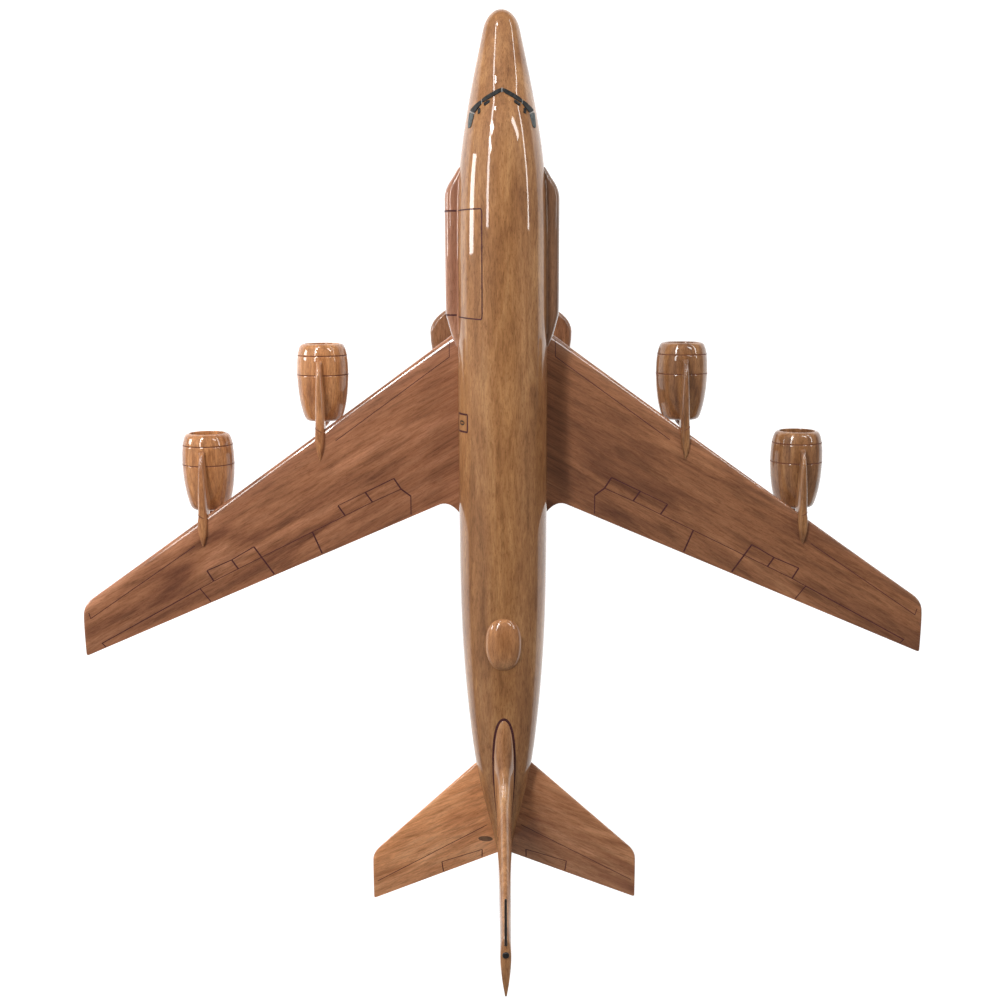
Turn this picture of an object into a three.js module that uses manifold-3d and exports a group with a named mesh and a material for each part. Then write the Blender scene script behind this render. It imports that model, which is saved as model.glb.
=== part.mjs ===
// Desktop airliner model: a carved mahogany four-engined jet on a wooden stand.
// Millimetres, +Z up. The nose points to -Y and the port (left) wing to +X.
// The origin is the underside of the felt, on the axis of the stand's pin.

import * as THREE from 'three';
import { mergeVertices } from 'three/addons/utils/BufferGeometryUtils.js';
import Module from 'manifold-3d';

const wasm = await Module();
wasm.setup();

// ---------------------------------------------------------------- driving dimensions

const GAP = 0.3;                    // clearance between neighbouring pieces

// stand
const FELT_THICKNESS = 1.5;
const BASE_THICKNESS = 14;
const BASE_BEVEL = 2.5;
const STAND_HEIGHT = 120;           // base top to fuselage centreline
const FELT_INSET = 2;
const COLUMN_FOOT = [11, 23];       // half-width, half-length
const COLUMN_HEAD = [8, 8.5];
const PIN_RADIUS = 2.5;
const PIN_IN_COLUMN = 30;
const PIN_ENGAGEMENT = 18;
const WASHER_RADIUS = 8;
const WASHER_THICKNESS = 1;
const BUSH_RADIUS = 5;
const BUSH_FLANGE_RADIUS = 7.5;
const BUSH_FLANGE_THICKNESS = 1.3;
const SCREW_SPACING = 22;
const SCREW_RADIUS = 2;
const SCREW_HEAD_RADIUS = 4;
const SCREW_LENGTH = 30;

// aircraft, as distances aft of a point at the nose, out from the centreline and up from it
const PIN_STATION = 197;
const NOSE_TIP = -0.9;
const FUSELAGE_END = 403;
const FUSELAGE_RADIUS = 20.8;
const FUSELAGE_SQUARENESS = 2.15;   // superellipse exponent
const WING_TIP = 199.8;
const WING_ROOT_EDGES = [147, 224.8]; // leading and trailing edge where the wing leaves the body
const WING_ROOT_X = [23, 28];
const WING_SWEEP = [0.696, 0.41];   // aft run per unit of span, leading and trailing edge
const LEADING_EDGE_BOW = 3.6;       // how far the root's leading edge runs ahead of that line
const WING_ROOT_Z = -13;
const DIHEDRAL = Math.tan(THREE.MathUtils.degToRad(7));
const STABILIZER_TIP = 64.5;
const STABILIZER_ROOT_X = 15;
const STABILIZER_Z = 5;
const FIN_TOP = 93;
const NACELLE_LENGTH = 37;
const NACELLE_RADIUS = 12.4;
const INTAKE_RADIUS = 8.4;
const INTAKE_DEPTH = 11;
const ENGINES = [
  { name: 'outer_left', x: 142.7, lip: 190.6, z: -14 },
  { name: 'inner_left', x: 86.9, lip: 148.2, z: -20 },
  { name: 'inner_right', x: -86.9, lip: 148.2, z: -20 },
  { name: 'outer_right', x: -142.7, lip: 190.6, z: -14 },
];
const WING_DOWEL = { radius: 2.5, length: 24, start: 9, stations: [172, 204] };
const STABILIZER_DOWEL = { radius: 1.3, length: 14, start: 3.5, station: 370 };
const FIN_DOWEL = { radius: 1.4, length: 22, start: 8, stations: [361, 375] };

const BASE_BOTTOM = FELT_THICKNESS + GAP;
const BASE_TOP = BASE_BOTTOM + BASE_THICKNESS;
const CENTRE_HEIGHT = BASE_TOP + STAND_HEIGHT;

// Fuselage stations: distance aft, half-width, top and bottom.
const FUSELAGE_STATIONS = [
  [NOSE_TIP, 0, -4, -4],
  [4, 6.9, 2.4, -10.4],
  [17, 10.4, 6.6, -14.8],
  [35, 14.2, 12.4, -18.2],
  [46, 16.2, 18, -19.8],
  [60, 18.4, 20.8, -21],
  [80, 20.3, 21.5, -21.5],
  [120, FUSELAGE_RADIUS, 21.5, -21.5],
  [240, FUSELAGE_RADIUS, 21.5, -21.5],
  [280, 20.1, 21.4, -19.6],
  [311, 18.2, 21.1, -14.8],
  [342, 14.9, 20.2, -8.6],
  [358, 12.2, 18.6, -5.2],
  [370, 9.6, 16.5, -2.8],
  [380, 7.1, 14.2, -1],
  [390, 4.8, 11.8, 0.8],
  [397, 3.6, 9.9, 2.2],
  [FUSELAGE_END, 2.3, 7.6, 4.4],
];

// ---------------------------------------------------------------- materials

function material(color, roughness, metalness = 0) {
  return new THREE.MeshStandardMaterial({ color, roughness, metalness });
}

const MAHOGANY_BODY = material(0x9a6b46, 0.18);
const MAHOGANY_WING = material(0x875a42, 0.2);
const MAHOGANY_TAIL = material(0xa4734e, 0.2);
const MAHOGANY_NACELLE = material(0x8c5f41, 0.18);
const MAHOGANY_STAND = material(0x8a5a3c, 0.22);
const DOWEL_WOOD = material(0xc9a472, 0.6);
const DARK_INLAY = material(0x2c2f31, 0.25);
const FAN_METAL = material(0x4a4a4a, 0.45, 0.6);
const BLACK_PIN = material(0x15120f, 0.35);
const BRASS = material(0xb08d4a, 0.3, 1);
const STEEL = material(0xa8a8a8, 0.3, 1);
const FELT = material(0x25352a, 0.95);

// ---------------------------------------------------------------- geometry helpers

// Merges shared vertices, drops triangles with no area and turns the faces outwards.
function weld(geometry) {
  const bare = geometry.index ? geometry.toNonIndexed() : geometry.clone();
  bare.deleteAttribute('normal');
  bare.deleteAttribute('uv');
  const merged = mergeVertices(bare, 1e-4);
  const index = merged.index.array;
  const kept = [];
  for (let i = 0; i < index.length; i += 3) {
    const [a, b, c] = [index[i], index[i + 1], index[i + 2]];
    if (a !== b && b !== c && c !== a) kept.push(a, b, c);
  }
  merged.setIndex(signedVolume(merged.attributes.position, kept) < 0 ? kept.reverse() : kept);
  return merged;
}

function signedVolume(position, index) {
  const [a, b, c] = [new THREE.Vector3(), new THREE.Vector3(), new THREE.Vector3()];
  let volume = 0;
  for (let i = 0; i < index.length; i += 3) {
    a.fromBufferAttribute(position, index[i]);
    b.fromBufferAttribute(position, index[i + 1]);
    c.fromBufferAttribute(position, index[i + 2]);
    volume += a.dot(b.cross(c)) / 6;
  }
  return volume;
}

function solid(geometry) {
  const welded = weld(geometry);
  return new wasm.Manifold(new wasm.Mesh({
    numProp: 3,
    vertProperties: new Float32Array(welded.attributes.position.array),
    triVerts: new Uint32Array(welded.index.array),
  }));
}

function geometryOf(manifold) {
  const mesh = manifold.getMesh();
  const geometry = new THREE.BufferGeometry();
  geometry.setAttribute('position', new THREE.BufferAttribute(mesh.vertProperties, 3));
  geometry.setIndex(Array.from(mesh.triVerts));
  return geometry;
}

function cut(body, ...tools) {
  return tools.reduce((result, tool) => result.subtract(tool), body);
}

// A closed skin over a row of rings that all have the same number of points.
function loft(rings) {
  const count = rings[0].length;
  const points = rings.flat();
  const index = [];
  for (let i = 0; i + 1 < rings.length; i++) {
    for (let j = 0; j < count; j++) {
      const a = i * count + j;
      const b = i * count + (j + 1) % count;
      index.push(a, b, a + count, b, b + count, a + count);
    }
  }
  addCap(points, index, rings[0], 0, true);
  addCap(points, index, rings.at(-1), (rings.length - 1) * count, false);
  const geometry = new THREE.BufferGeometry().setFromPoints(points);
  geometry.setIndex(index);
  return geometry;
}

function addCap(points, index, ring, start, flipped) {
  const centre = ring.reduce((sum, p) => sum.add(p), new THREE.Vector3()).divideScalar(ring.length);
  const hub = points.push(centre) - 1;
  ring.forEach((_, j) => {
    const a = start + j;
    const b = start + (j + 1) % ring.length;
    if (flipped) index.push(hub, b, a);
    else index.push(hub, a, b);
  });
}

function cylinder(radius, from, to, segments = 12) {
  const start = new THREE.Vector3(...from);
  const along = new THREE.Vector3(...to).sub(start);
  const geometry = new THREE.CylinderGeometry(radius, radius, along.length(), segments);
  const turn = new THREE.Quaternion().setFromUnitVectors(
    new THREE.Vector3(0, 1, 0), along.clone().normalize());
  geometry.applyQuaternion(turn);
  const middle = start.addScaledVector(along, 0.5);
  return geometry.translate(middle.x, middle.y, middle.z);
}

// Turns a profile of [radius, distance] pairs about the aft-pointing Y axis.
function turned(profile, segments) {
  return new THREE.LatheGeometry(profile.map(([r, y]) => new THREE.Vector2(r, y)), segments);
}

// The same about the vertical axis, with heights in place of distances.
function turnedUpright(profile, segments) {
  return turned(profile, segments).rotateX(Math.PI / 2);
}

// A vertical prism over an outline of [x, y] points.
function prism(outline, bottom, top) {
  const shape = new THREE.Shape(outline.map(([x, y]) => new THREE.Vector2(x, y)));
  const settings = { depth: top - bottom, bevelEnabled: false };
  return new THREE.ExtrudeGeometry(shape, settings).translate(0, 0, bottom);
}

function mirrored(geometry) {
  return geometry.clone().scale(-1, 1, 1);
}

function bothSides(build) {
  return [['left', build()], ['right', mirrored(build())]];
}

// Smooth value between rows of [position, ...values], easy to follow near a blunt start.
function interpolate(rows, position, column) {
  const root = (value) => Math.sqrt(value - rows[0][0]);
  const at = (row) => root(row[0]);
  const u = root(THREE.MathUtils.clamp(position, rows[0][0], rows.at(-1)[0]));
  let i = 0;
  while (i < rows.length - 2 && at(rows[i + 1]) < u) i++;
  const slope = (j) => {
    const low = rows[Math.max(j - 1, 0)];
    const high = rows[Math.min(j + 1, rows.length - 1)];
    return (high[column] - low[column]) / (at(high) - at(low));
  };
  const span = at(rows[i + 1]) - at(rows[i]);
  const t = (u - at(rows[i])) / span;
  const [p, q] = [rows[i][column], rows[i + 1][column]];
  const [m, n] = [slope(i) * span, slope(i + 1) * span];
  return (2 * t ** 3 - 3 * t ** 2 + 1) * p + (t ** 3 - 2 * t ** 2 + t) * m
    + (3 * t ** 2 - 2 * t ** 3) * q + (t ** 3 - t ** 2) * n;
}

// ---------------------------------------------------------------- fuselage

function superellipse(angle, exponent) {
  const [c, s] = [Math.cos(angle), Math.sin(angle)];
  const power = 2 / exponent;
  return [Math.sign(c) * Math.abs(c) ** power, Math.sign(s) * Math.abs(s) ** power];
}

function fuselageRing(station, grow, points) {
  const halfWidth = interpolate(FUSELAGE_STATIONS, station, 1) + grow;
  const top = interpolate(FUSELAGE_STATIONS, station, 2) + grow;
  const bottom = interpolate(FUSELAGE_STATIONS, station, 3) - grow;
  return Array.from({ length: points }, (_, i) => {
    const [x, z] = superellipse((i + 0.5) / points * 2 * Math.PI, FUSELAGE_SQUARENESS);
    return new THREE.Vector3(x * halfWidth, station, (top + bottom) / 2 + z * (top - bottom) / 2);
  });
}

function fuselageBody(grow = 0, points = 28) {
  const stations = [NOSE_TIP + 0.15, 0, 1.8, 4.5, 8, 13, 20, 28, 36, 41, 46, 52, 60, 70, 82, 100, 130,
    180, 240, 262, 280, 296, 311, 327, 342, 351, 360, 370, 380, 388, 395, 400, FUSELAGE_END];
  const rings = stations.map((s) => fuselageRing(s, grow, points));
  rings[0].forEach((p) => { p.y -= grow; });
  rings.at(-1).forEach((p) => { p.y += grow; });
  return solid(loft(rings));
}

const FUSELAGE_CUTTER = fuselageBody(GAP);

function wingPlaneHeight(x) {
  return WING_ROOT_Z + (x - WING_ROOT_X[0]) * DIHEDRAL;
}

function wingDowel(station, extra = 0) {
  const { radius, length, start } = WING_DOWEL;
  const end = start + length;
  const height = WING_ROOT_Z;
  return cylinder(radius + extra, [start - extra, station, height], [end + extra, station, height]);
}

function stabilizerDowel(extra = 0) {
  const { radius, length, start, station } = STABILIZER_DOWEL;
  return cylinder(radius + extra, [start - extra, station, STABILIZER_Z],
    [start + length + extra, station, STABILIZER_Z], 10);
}

function finDowel(station, extra = 0) {
  const { radius, length, start } = FIN_DOWEL;
  return cylinder(radius + extra, [0, station, start - extra], [0, station, start + length + extra], 10);
}

function fuselage() {
  const side = [...WING_DOWEL.stations.map((s) => wingDowel(s, GAP)), stabilizerDowel(GAP)];
  const holes = [...side, ...side.map(mirrored),
    ...FIN_DOWEL.stations.map((s) => finDowel(s, GAP))].map(solid);
  const bottom = -FUSELAGE_RADIUS - 5;
  const socket = cylinder(BUSH_RADIUS + GAP, [0, PIN_STATION, bottom], [0, PIN_STATION, -2.5], 16);
  const counterbore = cylinder(BUSH_FLANGE_RADIUS + GAP, [0, PIN_STATION, bottom],
    [0, PIN_STATION, -21], 16);
  return geometryOf(cut(fuselageBody(), ...holes, solid(socket), solid(counterbore)));
}

// Long flat-sided blister on the side of the forward fuselage, chamfered at both ends.
function cheekFairing() {
  const plan = [[68.5, 19.9], [70.5, 21.2], [72.5, 22.4], [74.5, 23.8], [76.7, 25.1], [79.2, 26], [82, 26.4],
    [122, 26.4], [133, 26.3], [138, 25.2], [144, 23.5], [149, 21.6]];
  const inner = 12;
  const [top, bottom, corner] = [5.5, -13.5, 4.5];
  const rings = plan.map(([s, outer]) => {
    const half = (outer - inner) / 2;
    return Array.from({ length: 20 }, (_, i) => {
      const [x, z] = superellipse((i + 0.5) / 20 * 2 * Math.PI, corner);
      return new THREE.Vector3(inner + half + x * half, s, (top + bottom) / 2 + z * (top - bottom) / 2);
    });
  });
  return geometryOf(cut(solid(loft(rings)), FUSELAGE_CUTTER, wingSolid(GAP)));
}

function domeFairing() {
  const dome = turnedUpright([[0, 16], [1, 16], [1, 20.6], [0.95, 22], [0.84, 23.2], [0.66, 24.1],
    [0.38, 24.7], [0, 24.9]], 24);
  dome.scale(8.7, 14.3, 1).translate(0, 286.9, 0);
  return geometryOf(cut(solid(dome), FUSELAGE_CUTTER));
}

// A thin pane that lies on the fuselage inside a plan outline, above the waterline.
const PANE_SKIN = fuselageBody(GAP + 0.4).subtract(FUSELAGE_CUTTER);

function pane(outline) {
  return geometryOf(solid(prism(outline, 2, 30)).intersect(PANE_SKIN));
}

function windshieldHalf() {
  return pane([[0.25, 35.6], [8.7, 40], [14.4, 43.6], [17.6, 46], [18.4, 52.4], [15.6, 52.4],
    [14, 48.6], [13, 46.4], [8.4, 42], [0.25, 37.5]]);
}

function eyebrowWindow(x, station, angle) {
  const corners = [[-1.4, -0.8], [1.4, -0.8], [1.4, 0.8], [-1.4, 0.8]];
  const turn = new THREE.Vector2();
  const centre = new THREE.Vector2();
  return pane(corners.map(([dx, dy]) => {
    turn.set(dx, dy).rotateAround(centre, THREE.MathUtils.degToRad(angle));
    return [x + turn.x, station + turn.y];
  }));
}

// ---------------------------------------------------------------- flying surfaces

// Symmetric aerofoil outline: [chord fraction, half-thickness at unit thickness, side].
function aerofoil(count) {
  const side = Array.from({ length: count }, (_, i) => {
    const c = (1 - Math.cos(Math.PI * i / (count - 1))) / 2;
    const y = 1.4845 * Math.sqrt(c) - 0.63 * c - 1.758 * c ** 2 + 1.4215 * c ** 3 - 0.518 * c ** 4;
    return [c, y, 1];
  });
  const lower = side.slice(1).map(([c, y]) => [c, y, -1]);
  return [...side.slice().reverse(), ...lower];
}

const AEROFOIL = aerofoil(11);
const TRAILING_HALF_THICKNESS = 0.35;

// Ring of [chordwise position, thickness offset] for one spanwise place.
function section(leading, trailing, thickness, grow) {
  const chord = trailing - leading + 2 * grow;
  return AEROFOIL.map(([c, y, side]) => {
    const offset = y * (thickness + 2 * grow) + TRAILING_HALF_THICKNESS * c;
    return [leading - grow + c * chord, side * offset];
  });
}

// Extra sweep-back of the leading edge that rounds a tip corner.
function tipRound(x, tip, radius) {
  const t = THREE.MathUtils.clamp((x - tip + radius) / radius, 0, 0.995);
  return radius * (1 - Math.sqrt(1 - t * t));
}

function wingEdges(x) {
  const inboard = Math.max(0, (WING_TIP - x) / (WING_TIP - WING_ROOT_X[0]));
  const leading = WING_ROOT_EDGES[0] + (x - WING_ROOT_X[0]) * WING_SWEEP[0]
    - LEADING_EDGE_BOW * inboard ** 1.5;
  const root = Math.max(0, WING_ROOT_X[1] - x);
  const trailing = WING_ROOT_EDGES[1] + (x - WING_ROOT_X[1]) * WING_SWEEP[1] + 1.55 * root;
  return [leading + tipRound(x, WING_TIP, 4), trailing - tipRound(x, WING_TIP, 1.2)];
}

function wingThickness(x) {
  const t = (x - WING_ROOT_X[0]) / (WING_TIP - WING_ROOT_X[0]);
  return THREE.MathUtils.lerp(9.2, 2.9, Math.sqrt(Math.max(t, 0))) - tipRound(x, WING_TIP, 1.2);
}

function wingSolid(grow = 0) {
  const stations = [10, 20, 28, 44, 66, 92, 120, 150, 176, 192, 197, 198.8, WING_TIP];
  const rings = stations.map((x) => {
    const [leading, trailing] = wingEdges(x);
    const out = x === WING_TIP ? x + grow : x;
    return section(leading, trailing, wingThickness(x), grow)
      .map(([s, z]) => new THREE.Vector3(out, s, wingPlaneHeight(x) + z));
  });
  return solid(loft(rings));
}

function wing() {
  const holes = WING_DOWEL.stations.map((s) => solid(wingDowel(s, GAP)));
  return geometryOf(cut(wingSolid(), FUSELAGE_CUTTER, ...holes));
}

function stabilizer() {
  const stations = [2, 14, 26, 40, 54, 61, 63.6, STABILIZER_TIP];
  const rings = stations.map((x) => {
    const span = x - STABILIZER_ROOT_X;
    const leading = 353 + span * 0.865 + tipRound(x, STABILIZER_TIP, 3);
    const trailing = 403.5 + span * 0.33 - tipRound(x, STABILIZER_TIP, 1);
    const thickness = THREE.MathUtils.lerp(4.6, 2.4, Math.max(span, 0) / 49.5);
    const height = STABILIZER_Z + span * DIHEDRAL;
    return section(leading, trailing, thickness, 0).map(([s, z]) => new THREE.Vector3(x, s, height + z));
  });
  return geometryOf(cut(solid(loft(rings)), FUSELAGE_CUTTER, solid(stabilizerDowel(GAP))));
}

function finLeadingEdge(z) {
  return 353 + (z - 27) * 0.68 + 2.5 * tipRound(z, FIN_TOP, 3);
}

// The foot runs far forward under a low ridge that sweeps up into the blade.
function fin() {
  const foot = [[6, 9.4, 323.9], [20.4, 9.4, 323.9], [21.3, 9, 325.6], [22.4, 8.2, 329.5],
    [23.4, 7.5, 334.5], [24.8, 7, 341], [27, 6.8, 347.6], [30, 6.7, 353], [35, 6.6, 358.7]];
  const blade = [[42, 6.4], [52, 6], [72, 5.2], [88, 4.7], [90.5, 4.7], [91.8, 4.5], [FIN_TOP, 3.2]]
    .map(([z, thickness]) => [z, thickness, finLeadingEdge(z)]);
  const rings = [...foot, ...blade].map(([z, thickness, leading]) => {
    const trailing = 398.4 + (z - 8) * 0.282 - tipRound(z, FIN_TOP, 1);
    return section(leading, trailing, thickness, 0).map(([s, x]) => new THREE.Vector3(x, s, z));
  });
  const holes = FIN_DOWEL.stations.map((s) => solid(finDowel(s, GAP)));
  return geometryOf(cut(solid(loft(rings)), FUSELAGE_CUTTER, ...holes));
}

function finTipProbe() {
  return turned([[0, 376.8], [0.45, 377.1], [0.55, 378], [0.6, 398.4], [0, 398.4]], 10)
    .translate(0, 0, FIN_TOP - 0.4);
}

function finTipBeacon() {
  const base = FIN_TOP + GAP;
  return turnedUpright([[0, base], [1.5, base], [1.45, base + 0.4], [0.9, base + 0.9], [0, base + 1.1]], 12)
    .translate(0, 402.6, 0);
}

// ---------------------------------------------------------------- engines

const NACELLE_PROFILE = [[9.2, 0], [10.2, 0.6], [11.2, 2.6], [11.8, 5.5], [12.3, 10],
  [NACELLE_RADIUS, 14], [12.1, 20], [11.3, 27], [10, 33], [8.9, 36], [7.9, NACELLE_LENGTH]];

function nacelle({ x, lip, z }) {
  const profile = [[0, INTAKE_DEPTH], [INTAKE_RADIUS, INTAKE_DEPTH], [INTAKE_RADIUS, 0.6],
    ...NACELLE_PROFILE, [6.2, NACELLE_LENGTH], [5.8, 32], [0, 32]];
  return turned(profile, 24).translate(x, lip, z);
}

function nacelleCutter({ x, lip, z }) {
  const grown = NACELLE_PROFILE.map(([r, s]) => [r + GAP, s]);
  return solid(turned([[0, -GAP], ...grown, [0, NACELLE_LENGTH + GAP]], 24).translate(x, lip, z));
}

function intakeFan({ x, lip, z }) {
  const back = INTAKE_DEPTH - GAP;
  const profile = [[0, back - 5.4], [1.2, back - 4.6], [2.6, back - 1.6], [INTAKE_RADIUS - GAP, back - 1.2],
    [INTAKE_RADIUS - GAP, back], [0, back]];
  return turned(profile, 20).translate(x, lip, z);
}

function exhaustCone({ x, lip, z }) {
  const profile = [[0, 32 + GAP], [4.2, 32 + GAP], [4, 35], [2.4, 38.4], [0.6, 40.4], [0, 40.6]];
  return turned(profile, 16).translate(x, lip, z);
}

// Blade between nacelle and wing, with a spear-like tail lying on the wing.
function pylon(engine, wingCutter) {
  const side = Math.sign(engine.x);
  const span = Math.abs(engine.x);
  const [leading] = wingEdges(span);
  const plane = wingPlaneHeight(span);
  const top = engine.z + NACELLE_RADIUS;
  const front = engine.lip + 7.4;
  const outline = [[front, top - 3], [front + 1.5, top + 2.4], [front + 9, top + 5],
    [leading - 6, plane + 3.4], [leading + 3, plane + 3.9], [leading + 8, plane + 4.2],
    [leading + 13.5, plane + 3.4],
    [leading + 13.5, plane], [leading + 20, plane], [leading + 22, plane - 4.4],
    [engine.lip + 33, engine.z + 4], [front, engine.z + 4]];
  const shape = new THREE.Shape(outline.map(([s, z]) => new THREE.Vector2(s, z)));
  const blade = new THREE.ExtrudeGeometry(shape, { depth: 8, bevelEnabled: false });
  // the outline's first axis becomes aft, its second becomes up, and the depth goes across
  blade.applyMatrix4(new THREE.Matrix4().set(0, 0, 1, -4, 1, 0, 0, 0, 0, 1, 0, 0, 0, 0, 0, 1));
  const plan = prism([[0, front - 0.6], [1.1, front + 0.6], [1.75, front + 4], [2.3, leading - 1],
    [2.2, leading + 4], [1.3, leading + 10], [0, leading + 13], [-1.3, leading + 10],
    [-2.2, leading + 4], [-2.3, leading - 1], [-1.75, front + 4], [-1.1, front + 0.6]], -60, 60);
  const body = solid(blade).intersect(solid(plan)).translate([span, 0, 0]);
  const trimmed = cut(body, wingCutter, nacelleCutter({ ...engine, x: span }));
  return side > 0 ? geometryOf(trimmed) : mirrored(geometryOf(trimmed));
}

// ---------------------------------------------------------------- stand

const WASHER_TOP = CENTRE_HEIGHT - 21.5 - 1.1 - GAP;
const COLUMN_TOP = WASHER_TOP - WASHER_THICKNESS - GAP;
const BELLY_BUSH_BOTTOM = WASHER_TOP + GAP;

// Waisted outline of the base: a wide front lobe, a narrow middle and a smaller rear lobe.
function baseOutline(inset = 0) {
  const station = (s) => s - PIN_STATION;
  const front = { centre: station(146.6), half: 40 - inset, reach: 19.7 - inset };
  const rear = { centre: station(224), half: 33 - inset, reach: 19 - inset };
  const waist = { centre: station(187), half: 27 - inset };
  const shape = new THREE.Shape();
  shape.absellipse(0, front.centre, front.half, front.reach, Math.PI, 2 * Math.PI);
  shape.bezierCurveTo(front.half, front.centre + 22, waist.half, waist.centre - 14,
    waist.half, waist.centre);
  shape.bezierCurveTo(waist.half, waist.centre + 14, rear.half, rear.centre - 16,
    rear.half, rear.centre);
  shape.absellipse(0, rear.centre, rear.half, rear.reach, 0, Math.PI);
  shape.bezierCurveTo(-rear.half, rear.centre - 16, -waist.half, waist.centre + 14,
    -waist.half, waist.centre);
  shape.bezierCurveTo(-waist.half, waist.centre - 14, -front.half, front.centre + 22,
    -front.half, front.centre);
  return shape;
}

function screwStations() {
  return [-SCREW_SPACING / 2, SCREW_SPACING / 2];
}

function screwPassage(y) {
  const bottom = BASE_BOTTOM - 1;
  const head = BASE_BOTTOM + 0.9;
  const sink = SCREW_HEAD_RADIUS + GAP;
  const shank = SCREW_RADIUS + GAP;
  const profile = [[0, bottom], [sink, bottom], [sink, head], [shank, head + 2.4],
    [shank, BASE_BOTTOM + SCREW_LENGTH + 1], [0, BASE_BOTTOM + SCREW_LENGTH + 1]];
  return solid(turnedUpright(profile, 12).translate(0, y, 0));
}

function basePlate() {
  const settings = { depth: BASE_THICKNESS - 2 * BASE_BEVEL, bevelThickness: BASE_BEVEL,
    bevelSize: BASE_BEVEL, bevelOffset: -BASE_BEVEL, bevelSegments: 2, curveSegments: 9 };
  const plate = new THREE.ExtrudeGeometry(baseOutline(), settings);
  plate.translate(0, 0, BASE_BOTTOM + BASE_BEVEL);
  return geometryOf(cut(solid(plate), ...screwStations().map(screwPassage)));
}

function feltSheet() {
  const settings = { depth: FELT_THICKNESS, bevelEnabled: false, curveSegments: 9 };
  return new THREE.ExtrudeGeometry(baseOutline(FELT_INSET), settings);
}

function baseScrew(y) {
  const profile = [[0, BASE_BOTTOM + 0.2], [SCREW_HEAD_RADIUS, BASE_BOTTOM + 0.6],
    [SCREW_HEAD_RADIUS, BASE_BOTTOM + 0.9], [SCREW_RADIUS, BASE_BOTTOM + 3.2],
    [SCREW_RADIUS, BASE_BOTTOM + SCREW_LENGTH - 3], [0, BASE_BOTTOM + SCREW_LENGTH]];
  return turnedUpright(profile, 12).translate(0, y, 0);
}

// Slender wooden column whose foot flares along the base.
function standColumn() {
  const bottom = BASE_TOP + GAP;
  const steps = [0, 0.03, 0.1, 0.2, 0.34, 0.5, 0.7, 0.88, 0.97, 1];
  const rings = steps.map((t) => {
    const flare = (1 - t) ** 2.6;
    const edge = t === 0 || t === 1 ? 0.7 : 0;
    const halfWidth = THREE.MathUtils.lerp(COLUMN_HEAD[0], COLUMN_FOOT[0], flare) - edge;
    const halfLength = THREE.MathUtils.lerp(COLUMN_HEAD[1], COLUMN_FOOT[1], flare) - edge;
    return Array.from({ length: 20 }, (_, i) => {
      const [x, y] = superellipse((i + 0.5) / 20 * 2 * Math.PI, 2.4);
      return new THREE.Vector3(x * halfWidth, y * halfLength, THREE.MathUtils.lerp(bottom, COLUMN_TOP, t));
    });
  });
  const bore = cylinder(PIN_RADIUS + GAP, [0, 0, COLUMN_TOP - PIN_IN_COLUMN - GAP], [0, 0, COLUMN_TOP + 2]);
  return geometryOf(cut(solid(loft(rings)), solid(bore), ...screwStations().map(screwPassage)));
}

function standPin() {
  const low = COLUMN_TOP - PIN_IN_COLUMN;
  const high = BELLY_BUSH_BOTTOM + PIN_ENGAGEMENT;
  return turnedUpright([[0, low], [PIN_RADIUS, low], [PIN_RADIUS, high - 1.2], [PIN_RADIUS - 1.2, high],
    [0, high]], 12);
}

function ring(inner, outer, bottom, top, segments) {
  return turnedUpright([[inner, bottom], [outer, bottom], [outer, top], [inner, top], [inner, bottom]],
    segments);
}

function swivelWasher() {
  return ring(PIN_RADIUS + GAP, WASHER_RADIUS, WASHER_TOP - WASHER_THICKNESS, WASHER_TOP, 20);
}

// Flanged brass tube in the belly that takes the pin.
function bellyBush() {
  const low = BELLY_BUSH_BOTTOM;
  const inner = PIN_RADIUS + GAP;
  const flange = low + BUSH_FLANGE_THICKNESS;
  const top = low + PIN_ENGAGEMENT + 1;
  return turnedUpright([[inner, low], [BUSH_FLANGE_RADIUS, low], [BUSH_FLANGE_RADIUS, flange],
    [BUSH_RADIUS, flange], [BUSH_RADIUS, top], [inner, top], [inner, low]], 16);
}

// ---------------------------------------------------------------- assembly

const model = new THREE.Group();
const stand = new THREE.Group();
const aircraft = new THREE.Group();
aircraft.position.set(0, -PIN_STATION, CENTRE_HEIGHT);
model.add(stand, aircraft);

function add(group, name, geometry, finish) {
  const mesh = new THREE.Mesh(weld(geometry), finish);
  mesh.name = name;
  group.add(mesh);
}

function addPair(name, build, finish) {
  for (const [side, geometry] of bothSides(build)) add(aircraft, `${name}_${side}`, geometry, finish);
}

add(aircraft, 'fuselage', fuselage(), MAHOGANY_BODY);
add(aircraft, 'dome_fairing', domeFairing(), MAHOGANY_BODY);
addPair('cheek_fairing', cheekFairing, MAHOGANY_BODY);
addPair('windshield', windshieldHalf, DARK_INLAY);
addPair('eyebrow_window_front', () => eyebrowWindow(6.6, 42.1, 28), DARK_INLAY);
addPair('eyebrow_window_rear', () => eyebrowWindow(9.6, 45.4, 62), DARK_INLAY);
addPair('wing', wing, MAHOGANY_WING);
addPair('stabilizer', stabilizer, MAHOGANY_TAIL);
add(aircraft, 'fin', fin(), MAHOGANY_TAIL);
add(aircraft, 'fin_tip_probe', finTipProbe(), BLACK_PIN);
add(aircraft, 'fin_tip_beacon', finTipBeacon(), BLACK_PIN);
addPair('wing_dowel_front', () => wingDowel(WING_DOWEL.stations[0]), DOWEL_WOOD);
addPair('wing_dowel_rear', () => wingDowel(WING_DOWEL.stations[1]), DOWEL_WOOD);
addPair('stabilizer_dowel', stabilizerDowel, DOWEL_WOOD);
add(aircraft, 'fin_dowel_front', finDowel(FIN_DOWEL.stations[0]), DOWEL_WOOD);
add(aircraft, 'fin_dowel_rear', finDowel(FIN_DOWEL.stations[1]), DOWEL_WOOD);

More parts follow.
